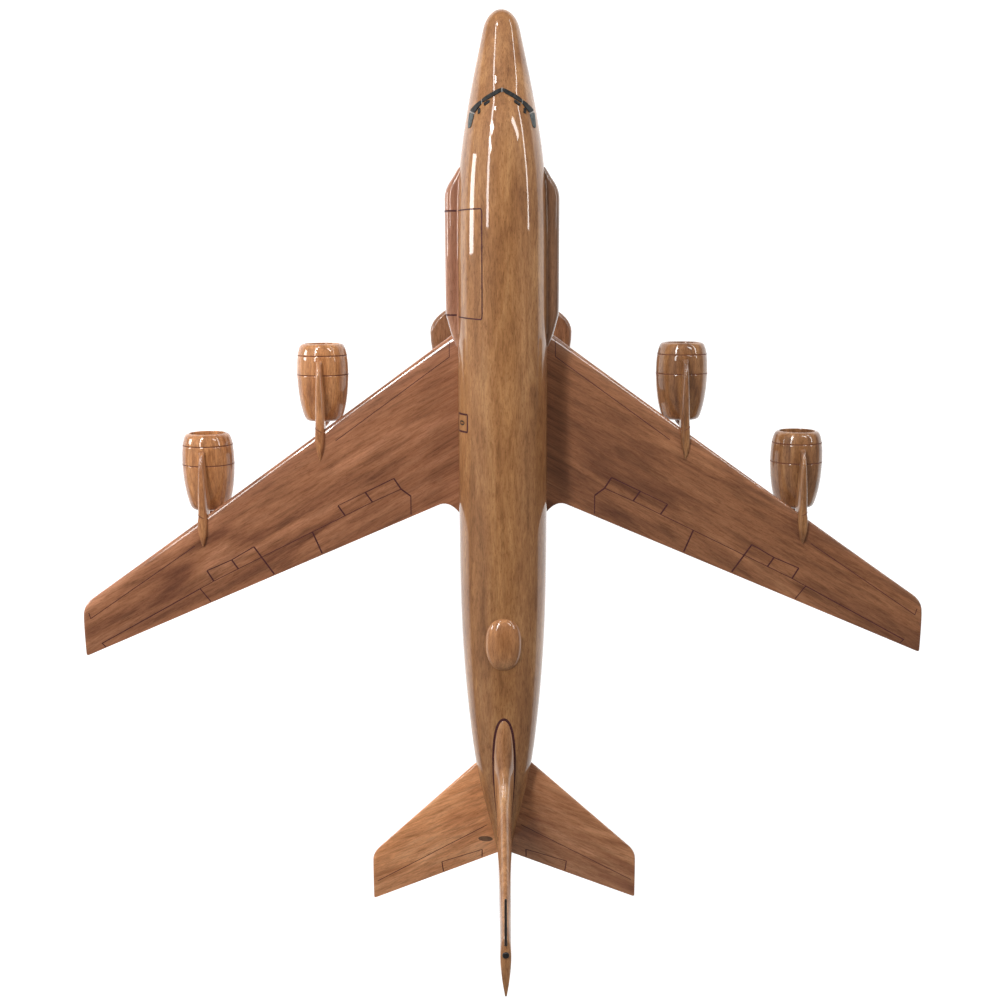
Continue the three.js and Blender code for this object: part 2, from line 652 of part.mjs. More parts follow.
const WING_CUTTER = wingSolid(GAP);
for (const engine of ENGINES) {
  add(aircraft, `nacelle_${engine.name}`, nacelle(engine), MAHOGANY_NACELLE);
  add(aircraft, `intake_fan_${engine.name}`, intakeFan(engine), FAN_METAL);
  add(aircraft, `exhaust_cone_${engine.name}`, exhaustCone(engine), MAHOGANY_NACELLE);
  add(aircraft, `pylon_${engine.name}`, pylon(engine, WING_CUTTER), MAHOGANY_WING);
}

add(stand, 'belly_bush', bellyBush(), BRASS);
add(stand, 'swivel_washer', swivelWasher(), BRASS);
add(stand, 'stand_pin', standPin(), STEEL);
add(stand, 'stand_column', standColumn(), MAHOGANY_STAND);
add(stand, 'base_plate', basePlate(), MAHOGANY_STAND);
add(stand, 'felt_sheet', feltSheet(), FELT);
add(stand, 'base_screw_front', baseScrew(screwStations()[0]), STEEL);
add(stand, 'base_screw_rear', baseScrew(screwStations()[1]), STEEL);

export default model;
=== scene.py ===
import math

import bpy
import numpy as np
from mathutils import Matrix, Vector


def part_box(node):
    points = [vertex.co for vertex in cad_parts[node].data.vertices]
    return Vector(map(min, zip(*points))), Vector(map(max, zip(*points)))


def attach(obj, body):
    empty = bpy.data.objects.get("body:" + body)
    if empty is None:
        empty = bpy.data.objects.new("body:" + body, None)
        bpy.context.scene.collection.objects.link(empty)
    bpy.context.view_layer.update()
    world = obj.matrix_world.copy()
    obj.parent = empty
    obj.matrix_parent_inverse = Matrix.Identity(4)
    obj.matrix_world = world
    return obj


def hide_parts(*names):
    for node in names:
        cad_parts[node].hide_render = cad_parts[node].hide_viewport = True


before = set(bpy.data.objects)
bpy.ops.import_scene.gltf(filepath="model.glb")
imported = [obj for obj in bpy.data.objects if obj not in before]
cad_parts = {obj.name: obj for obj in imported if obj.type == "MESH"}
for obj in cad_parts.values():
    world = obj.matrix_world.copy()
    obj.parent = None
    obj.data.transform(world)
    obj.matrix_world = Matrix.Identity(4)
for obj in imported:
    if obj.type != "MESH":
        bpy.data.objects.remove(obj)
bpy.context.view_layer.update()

# Carved pieces are described in millimetres in the aircraft's own terms:
# x out to port, s aft of a point at the nose, z up from the fuselage centreline.

MM = 0.001
SIDES = {"left": 1, "right": -1}
ENGINES = ["outer_left", "inner_left", "inner_right", "outer_right"]
NOSE_TIP = -0.9
CAD_NOSE_GAP = 0.15   # the CAD fuselage starts this far behind the nose tip

fuselage_low, fuselage_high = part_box("fuselage")
NOSE_Y = fuselage_low.y / MM - NOSE_TIP - CAD_NOSE_GAP
CENTRE_Z = (fuselage_low.z + fuselage_high.z) / 2 / MM
FUSELAGE_END = fuselage_high.y / MM - NOSE_Y
FUSELAGE_RADIUS = (fuselage_high.x - fuselage_low.x) / 2 / MM
WING_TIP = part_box("wing_left")[1].x / MM
STABILIZER_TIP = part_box("stabilizer_left")[1].x / MM
FIN_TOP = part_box("fin")[1].z / MM - CENTRE_Z


def to_row(points):
    """Aircraft millimetres to the row frame's metres."""
    return (np.asarray(points, float) + [0, NOSE_Y, CENTRE_Z]) * MM


def node_box(node):
    """Lowest and highest corners of a CAD node, in aircraft millimetres."""
    return [np.array(corner) / MM - [0, NOSE_Y, CENTRE_Z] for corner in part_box(node)]


# ---------- mesh helpers

def make_object(name, vertices, faces, material, sharp=40):
    """A mesh object from row-frame vertices in metres, smooth but for edges over sharp degrees."""
    mesh = bpy.data.meshes.new(name)
    mesh.from_pydata([tuple(v) for v in vertices], [], [tuple(int(i) for i in f) for f in faces])
    mesh.validate()
    mesh.polygons.foreach_set("use_smooth", [True] * len(mesh.polygons))
    mesh.set_sharp_from_angle(angle=math.radians(sharp))
    mesh.update()
    mesh.materials.append(material)
    piece = bpy.data.objects.new(name, mesh)
    bpy.context.scene.collection.objects.link(piece)
    return piece


def round_quads(rows, count, wrap=False):
    """Quads between rows of points that go round; wrap also joins the last row to the first."""
    faces = []
    for i in range(rows if wrap else rows - 1):
        here, there = i * count, (i + 1) % rows * count
        for j in range(count):
            k = (j + 1) % count
            faces.append((here + j, here + k, there + k, there + j))
    return faces


def loft(rings):
    """A solid over rings (rows, points, 3); each end closes on its middle point."""
    rings = np.asarray(rings, float)
    rows, count = rings.shape[:2]
    faces = round_quads(rows, count)
    hubs = np.array([rings[0].mean(0), rings[-1].mean(0)])
    first, last, base = rows * count, rows * count + 1, (rows - 1) * count
    for j in range(count):
        k = (j + 1) % count
        faces += [(first, k, j), (last, base + j, base + k)]
    return outward(np.vstack([rings.reshape(-1, 3), hubs]), faces)


def loft_ring(rings):
    """Like loft, but the last ring joins the first: for a profile that closes on itself or on the axis."""
    return outward(rings.reshape(-1, 3), round_quads(*rings.shape[:2], wrap=True))


def outward(vertices, faces):
    """Turns the faces over if the solid is inside out."""
    volume = 0.0
    for face in faces:
        a = vertices[face[0]]
        for i in range(1, len(face) - 1):
            volume += np.dot(a, np.cross(vertices[face[i]], vertices[face[i + 1]]))
    if volume < 0:
        faces = [tuple(reversed(face)) for face in faces]
    return vertices, faces


def join(*solids):
    """Several (vertices, faces) as one."""
    vertices, faces, start = [], [], 0
    for points, polygons in solids:
        vertices.append(points)
        faces += [tuple(i + start for i in polygon) for polygon in polygons]
        start += len(points)
    return np.vstack(vertices), faces


def place(x, s, z):
    """Points from coordinates, which may be arrays or single numbers."""
    return np.stack(np.broadcast_arrays(x, s, z), -1)


def superellipse(turn, exponent):
    c, s = np.cos(turn), np.sin(turn)
    power = 2 / exponent
    return np.sign(c) * np.abs(c) ** power, np.sign(s) * np.abs(s) ** power


def full_turn(count):
    return (np.arange(count) + 0.5) / count * 2 * np.pi


def ease(t):
    t = np.clip(t, 0, 1)
    return t * t * (3 - 2 * t)


def cubic(xs, ys, slopes, positions):
    """Values at positions of the curve with these slopes at its points."""
    positions = np.clip(positions, xs[0], xs[-1])
    i = np.clip(np.searchsorted(xs, positions, side="right") - 1, 0, len(xs) - 2)
    width = xs[i + 1] - xs[i]
    t = (positions - xs[i]) / width
    return ((2 * t**3 - 3 * t**2 + 1) * ys[i] + (t**3 - 2 * t**2 + t) * slopes[i] * width
            + (3 * t**2 - 2 * t**3) * ys[i + 1] + (t**3 - t**2) * slopes[i + 1] * width)


def curve(rows, positions):
    """Smooth values through rows of (position, value), without overshoot."""
    xs, ys = np.array(rows, float).T
    slopes = np.diff(ys) / np.diff(xs)
    tangents = np.zeros(len(xs))
    tangents[0], tangents[-1] = slopes[0], slopes[-1]
    for i in range(1, len(xs) - 1):
        if slopes[i - 1] * slopes[i] > 0:
            tangents[i] = 2 / (1 / slopes[i - 1] + 1 / slopes[i])
    return cubic(xs, ys, tangents, positions)


def free_curve(rows, positions):
    """The same, but a point's slope is that between its neighbours, so it may overshoot."""
    xs, ys = np.array(rows, float).T
    last = len(xs) - 1
    before, after = (np.clip(np.arange(last + 1) + step, 0, last) for step in (-1, 1))
    return cubic(xs, ys, (ys[after] - ys[before]) / (xs[after] - xs[before]), positions)


def lathe(profile, centre, axis="y", count=96):
    """A closed profile of (radius, distance) turned about a line along axis through centre, in mm."""
    turn = full_turn(count)
    rings = []
    for radius, distance in profile:
        radius = max(radius, 1e-3)
        across, along, other = radius * np.cos(turn), distance, radius * np.sin(turn)
        rings.append(place(across, along, other) if axis == "y" else place(across, other, along))
    return loft_ring(np.array(rings) + np.asarray(centre, float))


def round_corners(points, radius, steps=5):
    """Rounds the inner corners of an open outline of (a, b) points."""
    points = [np.array(p, float) for p in points]
    result = [points[0]]
    for before, corner, after in zip(points, points[1:], points[2:]):
        back, on = before - corner, after - corner
        reach = min(radius, np.linalg.norm(back) / 2.1, np.linalg.norm(on) / 2.1)
        start, end = (corner + way / max(np.linalg.norm(way), 1e-9) * reach for way in (back, on))
        for t in np.linspace(0, 1, steps):
            result.append((1 - t)**2 * start + 2 * t * (1 - t) * corner + t**2 * end)
    return result + [points[-1]]


# ---------- surfaces of the aircraft

# Distance aft, half-width, top and bottom.
FUSELAGE_STATIONS = [
    (NOSE_TIP, 0, -4, -4), (4, 6.9, 2.4, -10.4), (17, 10.4, 6.6, -14.8), (35, 14.2, 12.4, -18.2),
    (46, 16.2, 18, -19.8), (60, 18.4, 20.8, -21), (80, 20.3, 21.5, -21.5),
    (120, FUSELAGE_RADIUS, 21.5, -21.5), (240, FUSELAGE_RADIUS, 21.5, -21.5), (280, 20.1, 21.4, -19.6),
    (311, 18.2, 21.1, -14.8), (342, 14.9, 20.2, -8.6), (358, 12.2, 18.6, -5.2), (370, 9.6, 16.5, -2.8),
    (380, 7.1, 14.2, -1), (390, 4.8, 11.8, 0.8), (397, 3.6, 9.9, 2.2), (FUSELAGE_END, 2.3, 7.6, 4.4)]
SQUARENESS = 2.15     # superellipse exponent

# Straight edges: distance aft, the span where it is measured, and the run aft per unit of span.
WING_LEADING, WING_TRAILING = (147, 23, 0.696), (224.8, 28, 0.41)
STABILIZER_LEADING, STABILIZER_TRAILING = (353, 15, 0.865), (403.5, 15, 0.33)
FIN_LEADING, FIN_TRAILING = (353, 27, 0.68), (398.4, 8, 0.282)
WING_ROOT_X, WING_ROOT_Z, WING_THICKNESS = 23, -13, (9.2, 2.9)
STABILIZER_ROOT_X, STABILIZER_ROOT_Z, STABILIZER_THICKNESS = 15, 5, (4.6, 2.4)
LEADING_EDGE_BOW = 3.6      # how far the root's leading edge runs ahead of the straight line
CUFF_SPAN = 31              # inboard of this the wing's trailing edge curves aft
TRAILING_HALF_THICKNESS = 0.35
DIHEDRAL = math.tan(math.radians(7))


def smoothed_profile(column, step=0.5, reach=24, spread=5):
    """The fuselage's outline in even steps, with its curvature evened out behind the nose cap."""
    positions = np.arange(NOSE_TIP, FUSELAGE_END + step, step)
    rows = [(math.sqrt(row[0] - NOSE_TIP), row[column]) for row in FUSELAGE_STATIONS]
    raw = free_curve(rows, np.sqrt(positions - NOSE_TIP))
    kernel = np.exp(-(np.arange(-reach, reach + 1) * step / spread) ** 2 / 2)
    kernel /= kernel.sum()
    padded = np.pad(raw, reach, mode="reflect", reflect_type="odd")
    smooth = np.convolve(padded, kernel, mode="valid")
    blend = ease((positions - 8) / 12)
    return positions, raw * (1 - blend) + smooth * blend


PROFILE = [smoothed_profile(column) for column in (1, 2, 3)]


def fuselage_section(s):
    """Half-width, top and bottom at distances aft."""
    return [np.interp(s, *profile) for profile in PROFILE]


def fuselage_point(s, degrees):
    """A point of the fuselage's skin; degrees go round from the top towards port."""
    s, turn = np.broadcast_arrays(np.asarray(s, float), np.radians(np.asarray(degrees, float)))
    half, top, bottom = fuselage_section(s)
    up, side = superellipse(turn, SQUARENESS)
    return place(side * half, s, (top + bottom) / 2 + up * (top - bottom) / 2)


def fuselage_height(x, s):
    """Height of the upper skin at a plan position."""
    half, top, bottom = fuselage_section(s)
    share = np.clip(np.abs(x) / half, 0, 1) ** SQUARENESS
    return (top + bottom) / 2 + (top - bottom) / 2 * (1 - share) ** (1 / SQUARENESS)


def aerofoil_offset(c, thickness):
    """Half the thickness of a section at chord fraction c."""
    shape = 1.4845 * np.sqrt(c) - 0.63 * c - 1.758 * c**2 + 1.4215 * c**3 - 0.518 * c**4
    return shape * thickness + TRAILING_HALF_THICKNESS * c


def chord_turn(count):
    """Chord fractions and sides of a closed section, from the trailing edge over the top and back."""
    c = (1 - np.cos(np.pi * np.linspace(0, 1, count))) / 2
    return np.concatenate([c[::-1], c[1:]]), np.concatenate([np.ones(count), -np.ones(count - 1)])


def on_edge(x, edge):
    aft, span, slope = edge
    return aft + (x - span) * slope


def tip_round(x, tip, radius):
    """How far an edge draws in to round the corner of a tip."""
    t = np.clip((x - tip + radius) / radius, 0, 0.998)
    return radius * (1 - np.sqrt(1 - t * t))


def taper(thickness, t):
    root, tip = thickness
    return root + (tip - root) * t


def on_chord(x, edges, c, z):
    leading, trailing = edges
    return place(x, leading + c * (trailing - leading), z)


def chord_fraction(s, leading, trailing):
    return np.clip((s - leading) / (trailing - leading), 1e-4, 0.9999)


def wing_edges(x):
    bow = LEADING_EDGE_BOW * np.maximum(0, (WING_TIP - x) / (WING_TIP - WING_ROOT_X)) ** 1.5
    leading = on_edge(x, WING_LEADING) - bow + tip_round(x, WING_TIP, 4)
    cuff = 0.085 * np.maximum(0, CUFF_SPAN - x) ** 2
    return leading, on_edge(x, WING_TRAILING) + cuff - tip_round(x, WING_TIP, 1.2)


def wing_height(x, c, side=1):
    """Height of the wing's skin, on its upper side or with side -1 on its lower."""
    t = np.clip((x - WING_ROOT_X) / (WING_TIP - WING_ROOT_X), 0, 1)
    thickness = taper(WING_THICKNESS, np.sqrt(t)) - tip_round(x, WING_TIP, 1.2)
    return wing_plane(x) + side * aerofoil_offset(c, thickness)


def wing_plane(x):
    return WING_ROOT_Z + (x - WING_ROOT_X) * DIHEDRAL


def wing_point(x, c, side=1):
    return on_chord(x, wing_edges(x), c, wing_height(x, c, side))


def wing_top(x, s):
    """Upper skin of the wing over a plan position."""
    return place(x, s, wing_height(x, chord_fraction(s, *wing_edges(x))))


def stabilizer_point(x, c, side=1):
    span = x - STABILIZER_ROOT_X
    t = np.clip(span / (STABILIZER_TIP - STABILIZER_ROOT_X), 0, 1)
    thickness = taper(STABILIZER_THICKNESS, t) - tip_round(x, STABILIZER_TIP, 0.8)
    edges = (on_edge(x, STABILIZER_LEADING) + tip_round(x, STABILIZER_TIP, 3),
             on_edge(x, STABILIZER_TRAILING) - tip_round(x, STABILIZER_TIP, 1))
    return on_chord(x, edges, c, STABILIZER_ROOT_Z + span * DIHEDRAL + side * aerofoil_offset(c, thickness))


def stabilizer_top(x, s):
    """Upper skin of the stabilizer over a plan position."""
    edges = on_edge(x, STABILIZER_LEADING), on_edge(x, STABILIZER_TRAILING)
    return stabilizer_point(x, chord_fraction(s, *edges))


# Height, thickness and leading edge of the fin's foot; the blade carries on above it.
FIN_FOOT = [(6, 9.4, 323.9), (20.4, 9.4, 323.9), (21.3, 9, 325.6), (22.4, 8.2, 329.5), (23.4, 7.5, 334.5),
            (24.8, 7, 341), (27, 6.8, 347.6), (30, 6.7, 353), (35, 6.6, 358.7)]
FIN_BLADE = [(42, 6.4), (52, 6), (72, 5.2), (88, 4.7), (90.5, 4.7), (91.8, 4.5), (93, 3.2)]


def fin_blade_leading(z):
    return on_edge(z, FIN_LEADING) + 2.5 * tip_round(z, FIN_TOP, 3)


def fin_point(z, c, side=1):
    foot = [(level, leading) for level, _, leading in FIN_FOOT]
    foot += [(level, fin_blade_leading(level)) for level, _ in FIN_BLADE[:2]]
    leading = np.where(z >= FIN_BLADE[0][0], fin_blade_leading(z), curve(foot, z))
    trailing = on_edge(z, FIN_TRAILING) - tip_round(z, FIN_TOP, 1)
    thickness = curve([row[:2] for row in FIN_FOOT] + FIN_BLADE, z)
    return on_chord(side * aerofoil_offset(c, thickness), (leading, trailing), c, z)


# ---------- lines and inlays on a surface

def surface_frame(surface, a, b, step=1e-3):
    """Point and unit normal of surface(a, b)."""
    point = surface(a, b)
    along = surface(a + step, b) - surface(a - step, b)
    across = surface(a, b + step) - surface(a, b - step)
    normal = np.cross(along, across)
    normal /= np.maximum(np.linalg.norm(normal, axis=-1, keepdims=True), 1e-12)
    return point, normal


def trace(surface, corners, spacing, upward=False):
    """Points and normals along straight runs between corners of a surface's two coordinates.

    The normals point away from the fuselage's middle line, or upward.
    """
    params = [np.array(corners[0], float)]
    for start, end in zip(corners, corners[1:]):
        start, end = np.array(start, float), np.array(end, float)
        length = np.linalg.norm(surface(*end) - surface(*start))
        steps = max(1, int(math.ceil(length / spacing)))
        params += [start + (end - start) * (i + 1) / steps for i in range(steps)]
    points, normals = surface_frame(surface, *np.array(params).T)
    away = [0, 0, 1] if upward else points * [1, 0, 1]
    return points, normals * np.sign(np.sum(away * normals, axis=1, keepdims=True))


def unit(vectors):
    """The vectors at unit length."""
    return vectors / np.maximum(np.linalg.norm(vectors, axis=1, keepdims=True), 1e-9)


def ribbon(points, normals, width, lift=0.05, depth=0.25, closed=False):
    """A thin closed strip let into a surface along a path; the width may differ from point to point."""
    width = np.broadcast_to(np.asarray(width, float), len(points))
    keep = np.concatenate([[True], np.linalg.norm(np.diff(points, axis=0), axis=1) > 1e-4])
    points, normals, width = points[keep], normals[keep], width[keep][:, None]
    if closed:
        forward = unit(np.roll(points, -1, 0) - points)
        backward = unit(points - np.roll(points, 1, 0))
    else:
        forward = unit(np.diff(points, axis=0, append=points[-1:] * 2 - points[-2:-1]))
        backward = unit(np.diff(points, axis=0, prepend=points[:1] * 2 - points[1:2]))
    tangent = unit(forward + backward)
    stretch = 1 / np.clip(np.sum(tangent * forward, axis=1, keepdims=True), 0.5, 1)
    side = unit(np.cross(normals, tangent)) * stretch * width / 2
    up, down = normals * lift, -normals * depth
    rings = np.stack([points - side + down, points - side + up * 0.4, points + up,
                      points + side + up * 0.4, points + side + down], 1)
    return loft_ring(rings) if closed else loft(rings)


def spot(surface, centre, reach, count, lift, slant=0.0, upward=False, depth=0.3):
    """An oval disc let into a surface; centre and reach are in the surface's own coordinates."""
    t = full_turn(count)
    ring = np.stack([centre[0] + reach[0] * np.cos(t),
                     centre[1] + reach[1] * np.sin(t) + slant * np.cos(t)], 1)
    points, normals = trace(surface, ring, math.inf, upward)
    return loft([points - normals * depth, points + normals * lift])


def slab(surface, corners, lift=0.06, depth=0.4, rows=14, columns=8, rounding=0.12):
    """A thin closed pane over four corners of a surface's coordinates."""
    u, v = np.meshgrid(np.linspace(0, 1, rows), np.linspace(0, 1, columns), indexing="ij")
    edge_u, edge_v = 2 * u - 1, 2 * v - 1
    u = 0.5 + edge_u * (1 - rounding * np.abs(edge_v)**6) / 2
    v = 0.5 + edge_v * (1 - rounding * np.abs(edge_u)**6) / 2
    p = [np.array(corner, float)[:, None, None] for corner in corners]
    points, normals = surface_frame(surface, *((1 - u) * (1 - v) * p[0] + u * (1 - v) * p[1]
                                               + u * v * p[2] + (1 - u) * v * p[3]))
    outer, inner = points + normals * lift, points - normals * depth
    vertices = np.vstack([outer.reshape(-1, 3), inner.reshape(-1, 3)])
    count = rows * columns
    faces = []
    for i in range(rows - 1):
        for j in range(columns - 1):
            a = i * columns + j
            quad = (a, a + columns, a + columns + 1, a + 1)
            faces += [quad, tuple(k + count for k in reversed(quad))]
    rim = [(i, 0) for i in range(rows)] + [(rows - 1, j) for j in range(1, columns)]
    rim += [(i, columns - 1) for i in range(rows - 2, -1, -1)] + [(0, j) for j in range(columns - 2, 0, -1)]
    flat = [i * columns + j for i, j in rim]
    for here, there in zip(flat, flat[1:] + flat[:1]):
        faces.append((there, here, here + count, there + count))
    return outward(vertices, faces)


# ---------- materials

def new_material(name):
    """A material, its node tree and its shader."""
    material = bpy.data.materials.new(name)
    material.use_nodes = True
    return material, material.node_tree, material.node_tree.nodes["Principled BSDF"]


def feed(tree, node, inputs):
    """Sets a node's inputs, or links those whose value is another node's output."""
    for name, value in inputs.items():
        if isinstance(value, bpy.types.NodeSocket):
            tree.links.new(value, node.inputs[name])
        else:
            node.inputs[name].default_value = value


def add(tree, kind, inputs=None, **settings):
    """A new node's outputs."""
    node = tree.nodes.new("ShaderNode" + kind)
    for key, value in settings.items():
        setattr(node, key, value)
    feed(tree, node, inputs or {})
    return node.outputs


def ramp(tree, factor, stops):
    """Colour from stops of (position, colour or grey)."""
    outputs = add(tree, "ValToRGB", {"Fac": factor})
    elements = outputs["Color"].node.color_ramp.elements
    while len(elements) < len(stops):
        elements.new(0.5)
    for element, (position, colour) in zip(elements, stops):
        element.position = position
        element.color = (*(colour if isinstance(colour, tuple) else [colour] * 3), 1)
    return outputs["Color"]


def multiply(tree, factor, a, b):
    """Colour a multiplied by colour b, as far as factor says."""
    return add(tree, "Mix", {0: factor, 6: a, 7: b}, data_type="RGBA", blend_type="MULTIPLY")[2]


def relief(tree, height, strength, distance):
    """Normal of a surface with this relief; distance is in metres."""
    return add(tree, "Bump", {"Height": height, "Strength": strength, "Distance": distance})["Normal"]


def grain_space(tree, heading, offset):
    """Object position in millimetres, turned so that the grain runs along Y."""
    turn = {"Location": offset, "Rotation": (0, 0, math.radians(90 - heading)), "Scale": (1000, 1000, 1000)}
    return add(tree, "Mapping", {"Vector": add(tree, "TexCoord")["Object"], **turn})["Vector"]


def grain_noise(tree, space, across, along, detail=3, roughness=0.5, distortion=0.0):
    """Noise whose features are about across and along millimetres in size."""
    squeeze = {"Vector": space, "Scale": (1 / across, 1 / along, 1 / across)}
    return add(tree, "TexNoise", {
        "Vector": add(tree, "Mapping", squeeze)["Vector"], "Scale": 1, "Detail": detail,
        "Roughness": roughness, "Distortion": distortion})["Fac"]


def srgb(*channels):
    """Linear colour from 0-255 display values."""
    return tuple(c / 255 / 12.92 if c <= 10 else ((c / 255 + 0.055) / 1.055) ** 2.4 for c in channels)


def lacquered_wood(name, tones, heading=90, offset=(0, 0, 0), figure=(9, 60), streaks=0.5, fleck=0.7,
                   fibre=(0.5, 4), mottled=(1.4, 7)):
    """Mahogany under clear gloss lacquer.

    heading is the grain's direction in plan, in degrees from +X. figure, fibre and mottled are the sizes of
    those patterns across and along the grain, in mm; streaks and fleck are strengths.
    """
    material, tree, shader = new_material(name)
    space = grain_space(tree, heading, offset)
    dark, middle, light = (srgb(*tone) for tone in tones)
    figure_noise = grain_noise(tree, space, *figure, 4, 0.55, 0.8)
    band_noise = grain_noise(tree, space, 2.2, 45, 5, 0.62, 0.4)
    mottle_noise = grain_noise(tree, space, *mottled, 3, 0.6, 0.9)
    fibre_noise = grain_noise(tree, space, *fibre, 3, 0.7, 0.3)
    pore_noise = grain_noise(tree, space, 0.3, 1.8, 2)
    wave_noise = grain_noise(tree, space, 8, 13, 2)
    colour = ramp(tree, figure_noise, [(0.3, dark), (0.5, middle), (0.7, light)])
    for strength, noise, stops in [
            (1.0, band_noise, [(0.3, 1 - 0.5 * streaks), (0.5, 1), (0.72, 1 + 0.22 * streaks)]),
            (0.8, mottle_noise, [(0.32, (0.74, 0.68, 0.62)), (0.5, 1), (0.68, (1.14, 1.15, 1.14))]),
            (fleck, fibre_noise, [(0.3, (0.6, 0.53, 0.47)), (0.52, 1), (0.7, 1.14)]),
            (fleck, pore_noise, [(0.3, (0.5, 0.42, 0.38)), (0.4, 1)])]:
        colour = multiply(tree, strength, colour, ramp(tree, noise, stops))
    feed(tree, shader, {
        "Base Color": colour, "Roughness": ramp(tree, figure_noise, [(0.3, 0.6), (0.7, 0.45)]),
        "Specular IOR Level": 0.2, "Coat Weight": 1.0, "Coat Roughness": 0.03, "Coat IOR": 1.5,
        "Normal": relief(tree, fibre_noise, 0.1, 0.00005),
        "Coat Normal": relief(tree, wave_noise, 0.25, 0.00012)})
    return material


def speckled(name, colour_a, colour_b, size, roughness, metallic=0.0, coat=0.0, bump=0.1):
    """A plain finish with fine variation of colour and relief."""
    material, tree, shader = new_material(name)
    noise = grain_noise(tree, grain_space(tree, 90, (3, 7, 1)), size, size, 4, 0.6)
    feed(tree, shader, {
        "Base Color": ramp(tree, noise, [(0.35, colour_a), (0.65, colour_b)]), "Roughness": roughness,
        "Metallic": metallic, "Specular IOR Level": 0.2, "Coat Weight": coat, "Coat Roughness": 0.05,
        "Normal": relief(tree, noise, bump, 0.0001)})
    return material


def brushed_metal(name, colour, roughness):
    """Metal with fine turned marks around the vertical axis."""
    material, tree, shader = new_material(name)
    marks = add(tree, "Mapping", {"Vector": add(tree, "TexCoord")["Object"], "Scale": (300, 300, 9000)})
    noise = add(tree, "TexNoise", {"Vector": marks["Vector"], "Scale": 1, "Detail": 3})["Fac"]
    feed(tree, shader, {
        "Base Color": ramp(tree, noise, [(0.3, tuple(c * 0.8 for c in colour)), (0.7, colour)]),
        "Metallic": 1.0, "Roughness": roughness, "Normal": relief(tree, noise, 0.15, 0.00005)})
    return material


def lit_and_shaded_wood_pair(name, tones, offsets, headings=(90, 90), **grain):
    """One wood from two blanks with their own grain, for port and starboard; the port copy is painted lighter
    as painted light and the starboard copy darker as painted shade.
    """
    return {side: lacquered_wood(f"{name}_{side}", *side_tones_and_grain, **grain)
            for side, *side_tones_and_grain in zip(SIDES, tones, headings, offsets)}


BODY_WOOD = lacquered_wood("body_wood", [(134, 88, 51), (160, 111, 68), (180, 132, 86)], streaks=0.25)
DOME_WOOD = lacquered_wood("dome_wood", [(150, 98, 58), (180, 124, 78), (200, 146, 98)], offset=(9, 2, 40),
                           streaks=0.25)
FIN_WOOD = lacquered_wood("fin_wood", [(150, 100, 62), (180, 128, 84), (202, 150, 102)], offset=(1, 44, 5))
# Port cheek in lighter tones, starboard cheek darker: painted shade of the fuselage's shadow on the starboard
# cheek.
CHEEK_WOOD = lit_and_shaded_wood_pair("cheek_wood", [[(142, 92, 68), (168, 116, 88), (186, 136, 104)],
                                      [(96, 65, 44), (119, 83, 58), (136, 98, 71)]],
                       [(31, 4, 8), (1, 4, 80)], streaks=0.3, fleck=0.5)
# Port wing tones lighter than starboard: painted light from the key lamp to port, painted shade on the
# starboard wing.
WING_WOOD = lit_and_shaded_wood_pair("wing_wood", [[(126, 78, 54), (160, 106, 74), (186, 128, 94)],
                                    [(112, 70, 47), (142, 94, 64), (166, 114, 80)]],
                      [(40, 11, 3), (7, 90, 20)], (29, 151), figure=(12, 90), streaks=0.65, fleck=0.5,
                      fibre=(0.5, 9), mottled=(0.9, 24))
# Port stabilizer tones far lighter than starboard: a painted reflection of the lights on its lacquer; the
# starboard copy is darker as painted shade.
TAIL_WOOD = lit_and_shaded_wood_pair("stabilizer_wood", [[(190, 126, 82), (220, 156, 108), (236, 178, 132)],
                                          [(146, 94, 64), (174, 120, 84), (194, 140, 102)]],
                      [(5, 60, 9), (70, 3, 31)], (22, 158), figure=(7, 50), streaks=0.45, fleck=0.45,
                      fibre=(0.5, 8), mottled=(0.9, 14))
# Port nacelles in lighter, more golden tones than starboard: painted light on the port side, painted shade on
# starboard.
NACELLE_WOOD = lit_and_shaded_wood_pair("nacelle_wood", [[(150, 94, 54), (182, 122, 74), (206, 148, 98)],
                                          [(112, 71, 41), (140, 94, 56), (162, 115, 73)]],
                         [(13, 5, 77), (63, 25, 7)], figure=(6, 30))
# Port pylons lighter than starboard, from the same blank: painted light on the port side, painted shade on
# starboard.
PYLON_WOOD = lit_and_shaded_wood_pair("pylon_wood", [[(146, 92, 56), (178, 120, 76), (200, 144, 98)],
                                      [(118, 76, 46), (146, 100, 62), (168, 122, 80)]],
                       [(3, 51, 7), (3, 51, 7)], figure=(5, 30))
STAND_TONES = [(102, 61, 41), (128, 84, 56), (148, 103, 71)]
STAND_WOOD = lacquered_wood("stand_wood", STAND_TONES, offset=(21, 8, 15), streaks=0.6)
COLUMN_WOOD = lacquered_wood("column_wood", STAND_TONES, offset=(2, 18, 65), streaks=0.6)
BURNT_LINE = speckled("burnt_line", srgb(58, 28, 30), srgb(86, 48, 48), 0.6, 0.6)
SEAM_LINE = speckled("seam_line", srgb(98, 56, 40), srgb(126, 78, 56), 0.9, 0.6)
KNOT = speckled("knot", srgb(104, 76, 56), srgb(136, 102, 72), 1.4, 0.5, coat=1.0)
WINDOW_GLASS = speckled("window_inlay", (0.01, 0.01, 0.01), (0.032, 0.032, 0.031), 1.6, 0.5)
SIDE_GLASS = speckled("side_window_inlay", (0.05, 0.06, 0.06), (0.11, 0.125, 0.125), 1.8, 0.5)
WINDOW_FRAME = speckled("window_frame", (0.2, 0.2, 0.19), (0.3, 0.3, 0.28), 0.8, 0.4, coat=0.8)
BLACK_PAINT = speckled("black_pin", (0.012, 0.01, 0.009), (0.03, 0.024, 0.02), 0.5, 0.35, coat=0.4)
FAN_METAL = speckled("fan_metal", (0.035, 0.035, 0.036), (0.07, 0.07, 0.072), 0.7, 0.45, metallic=0.5)
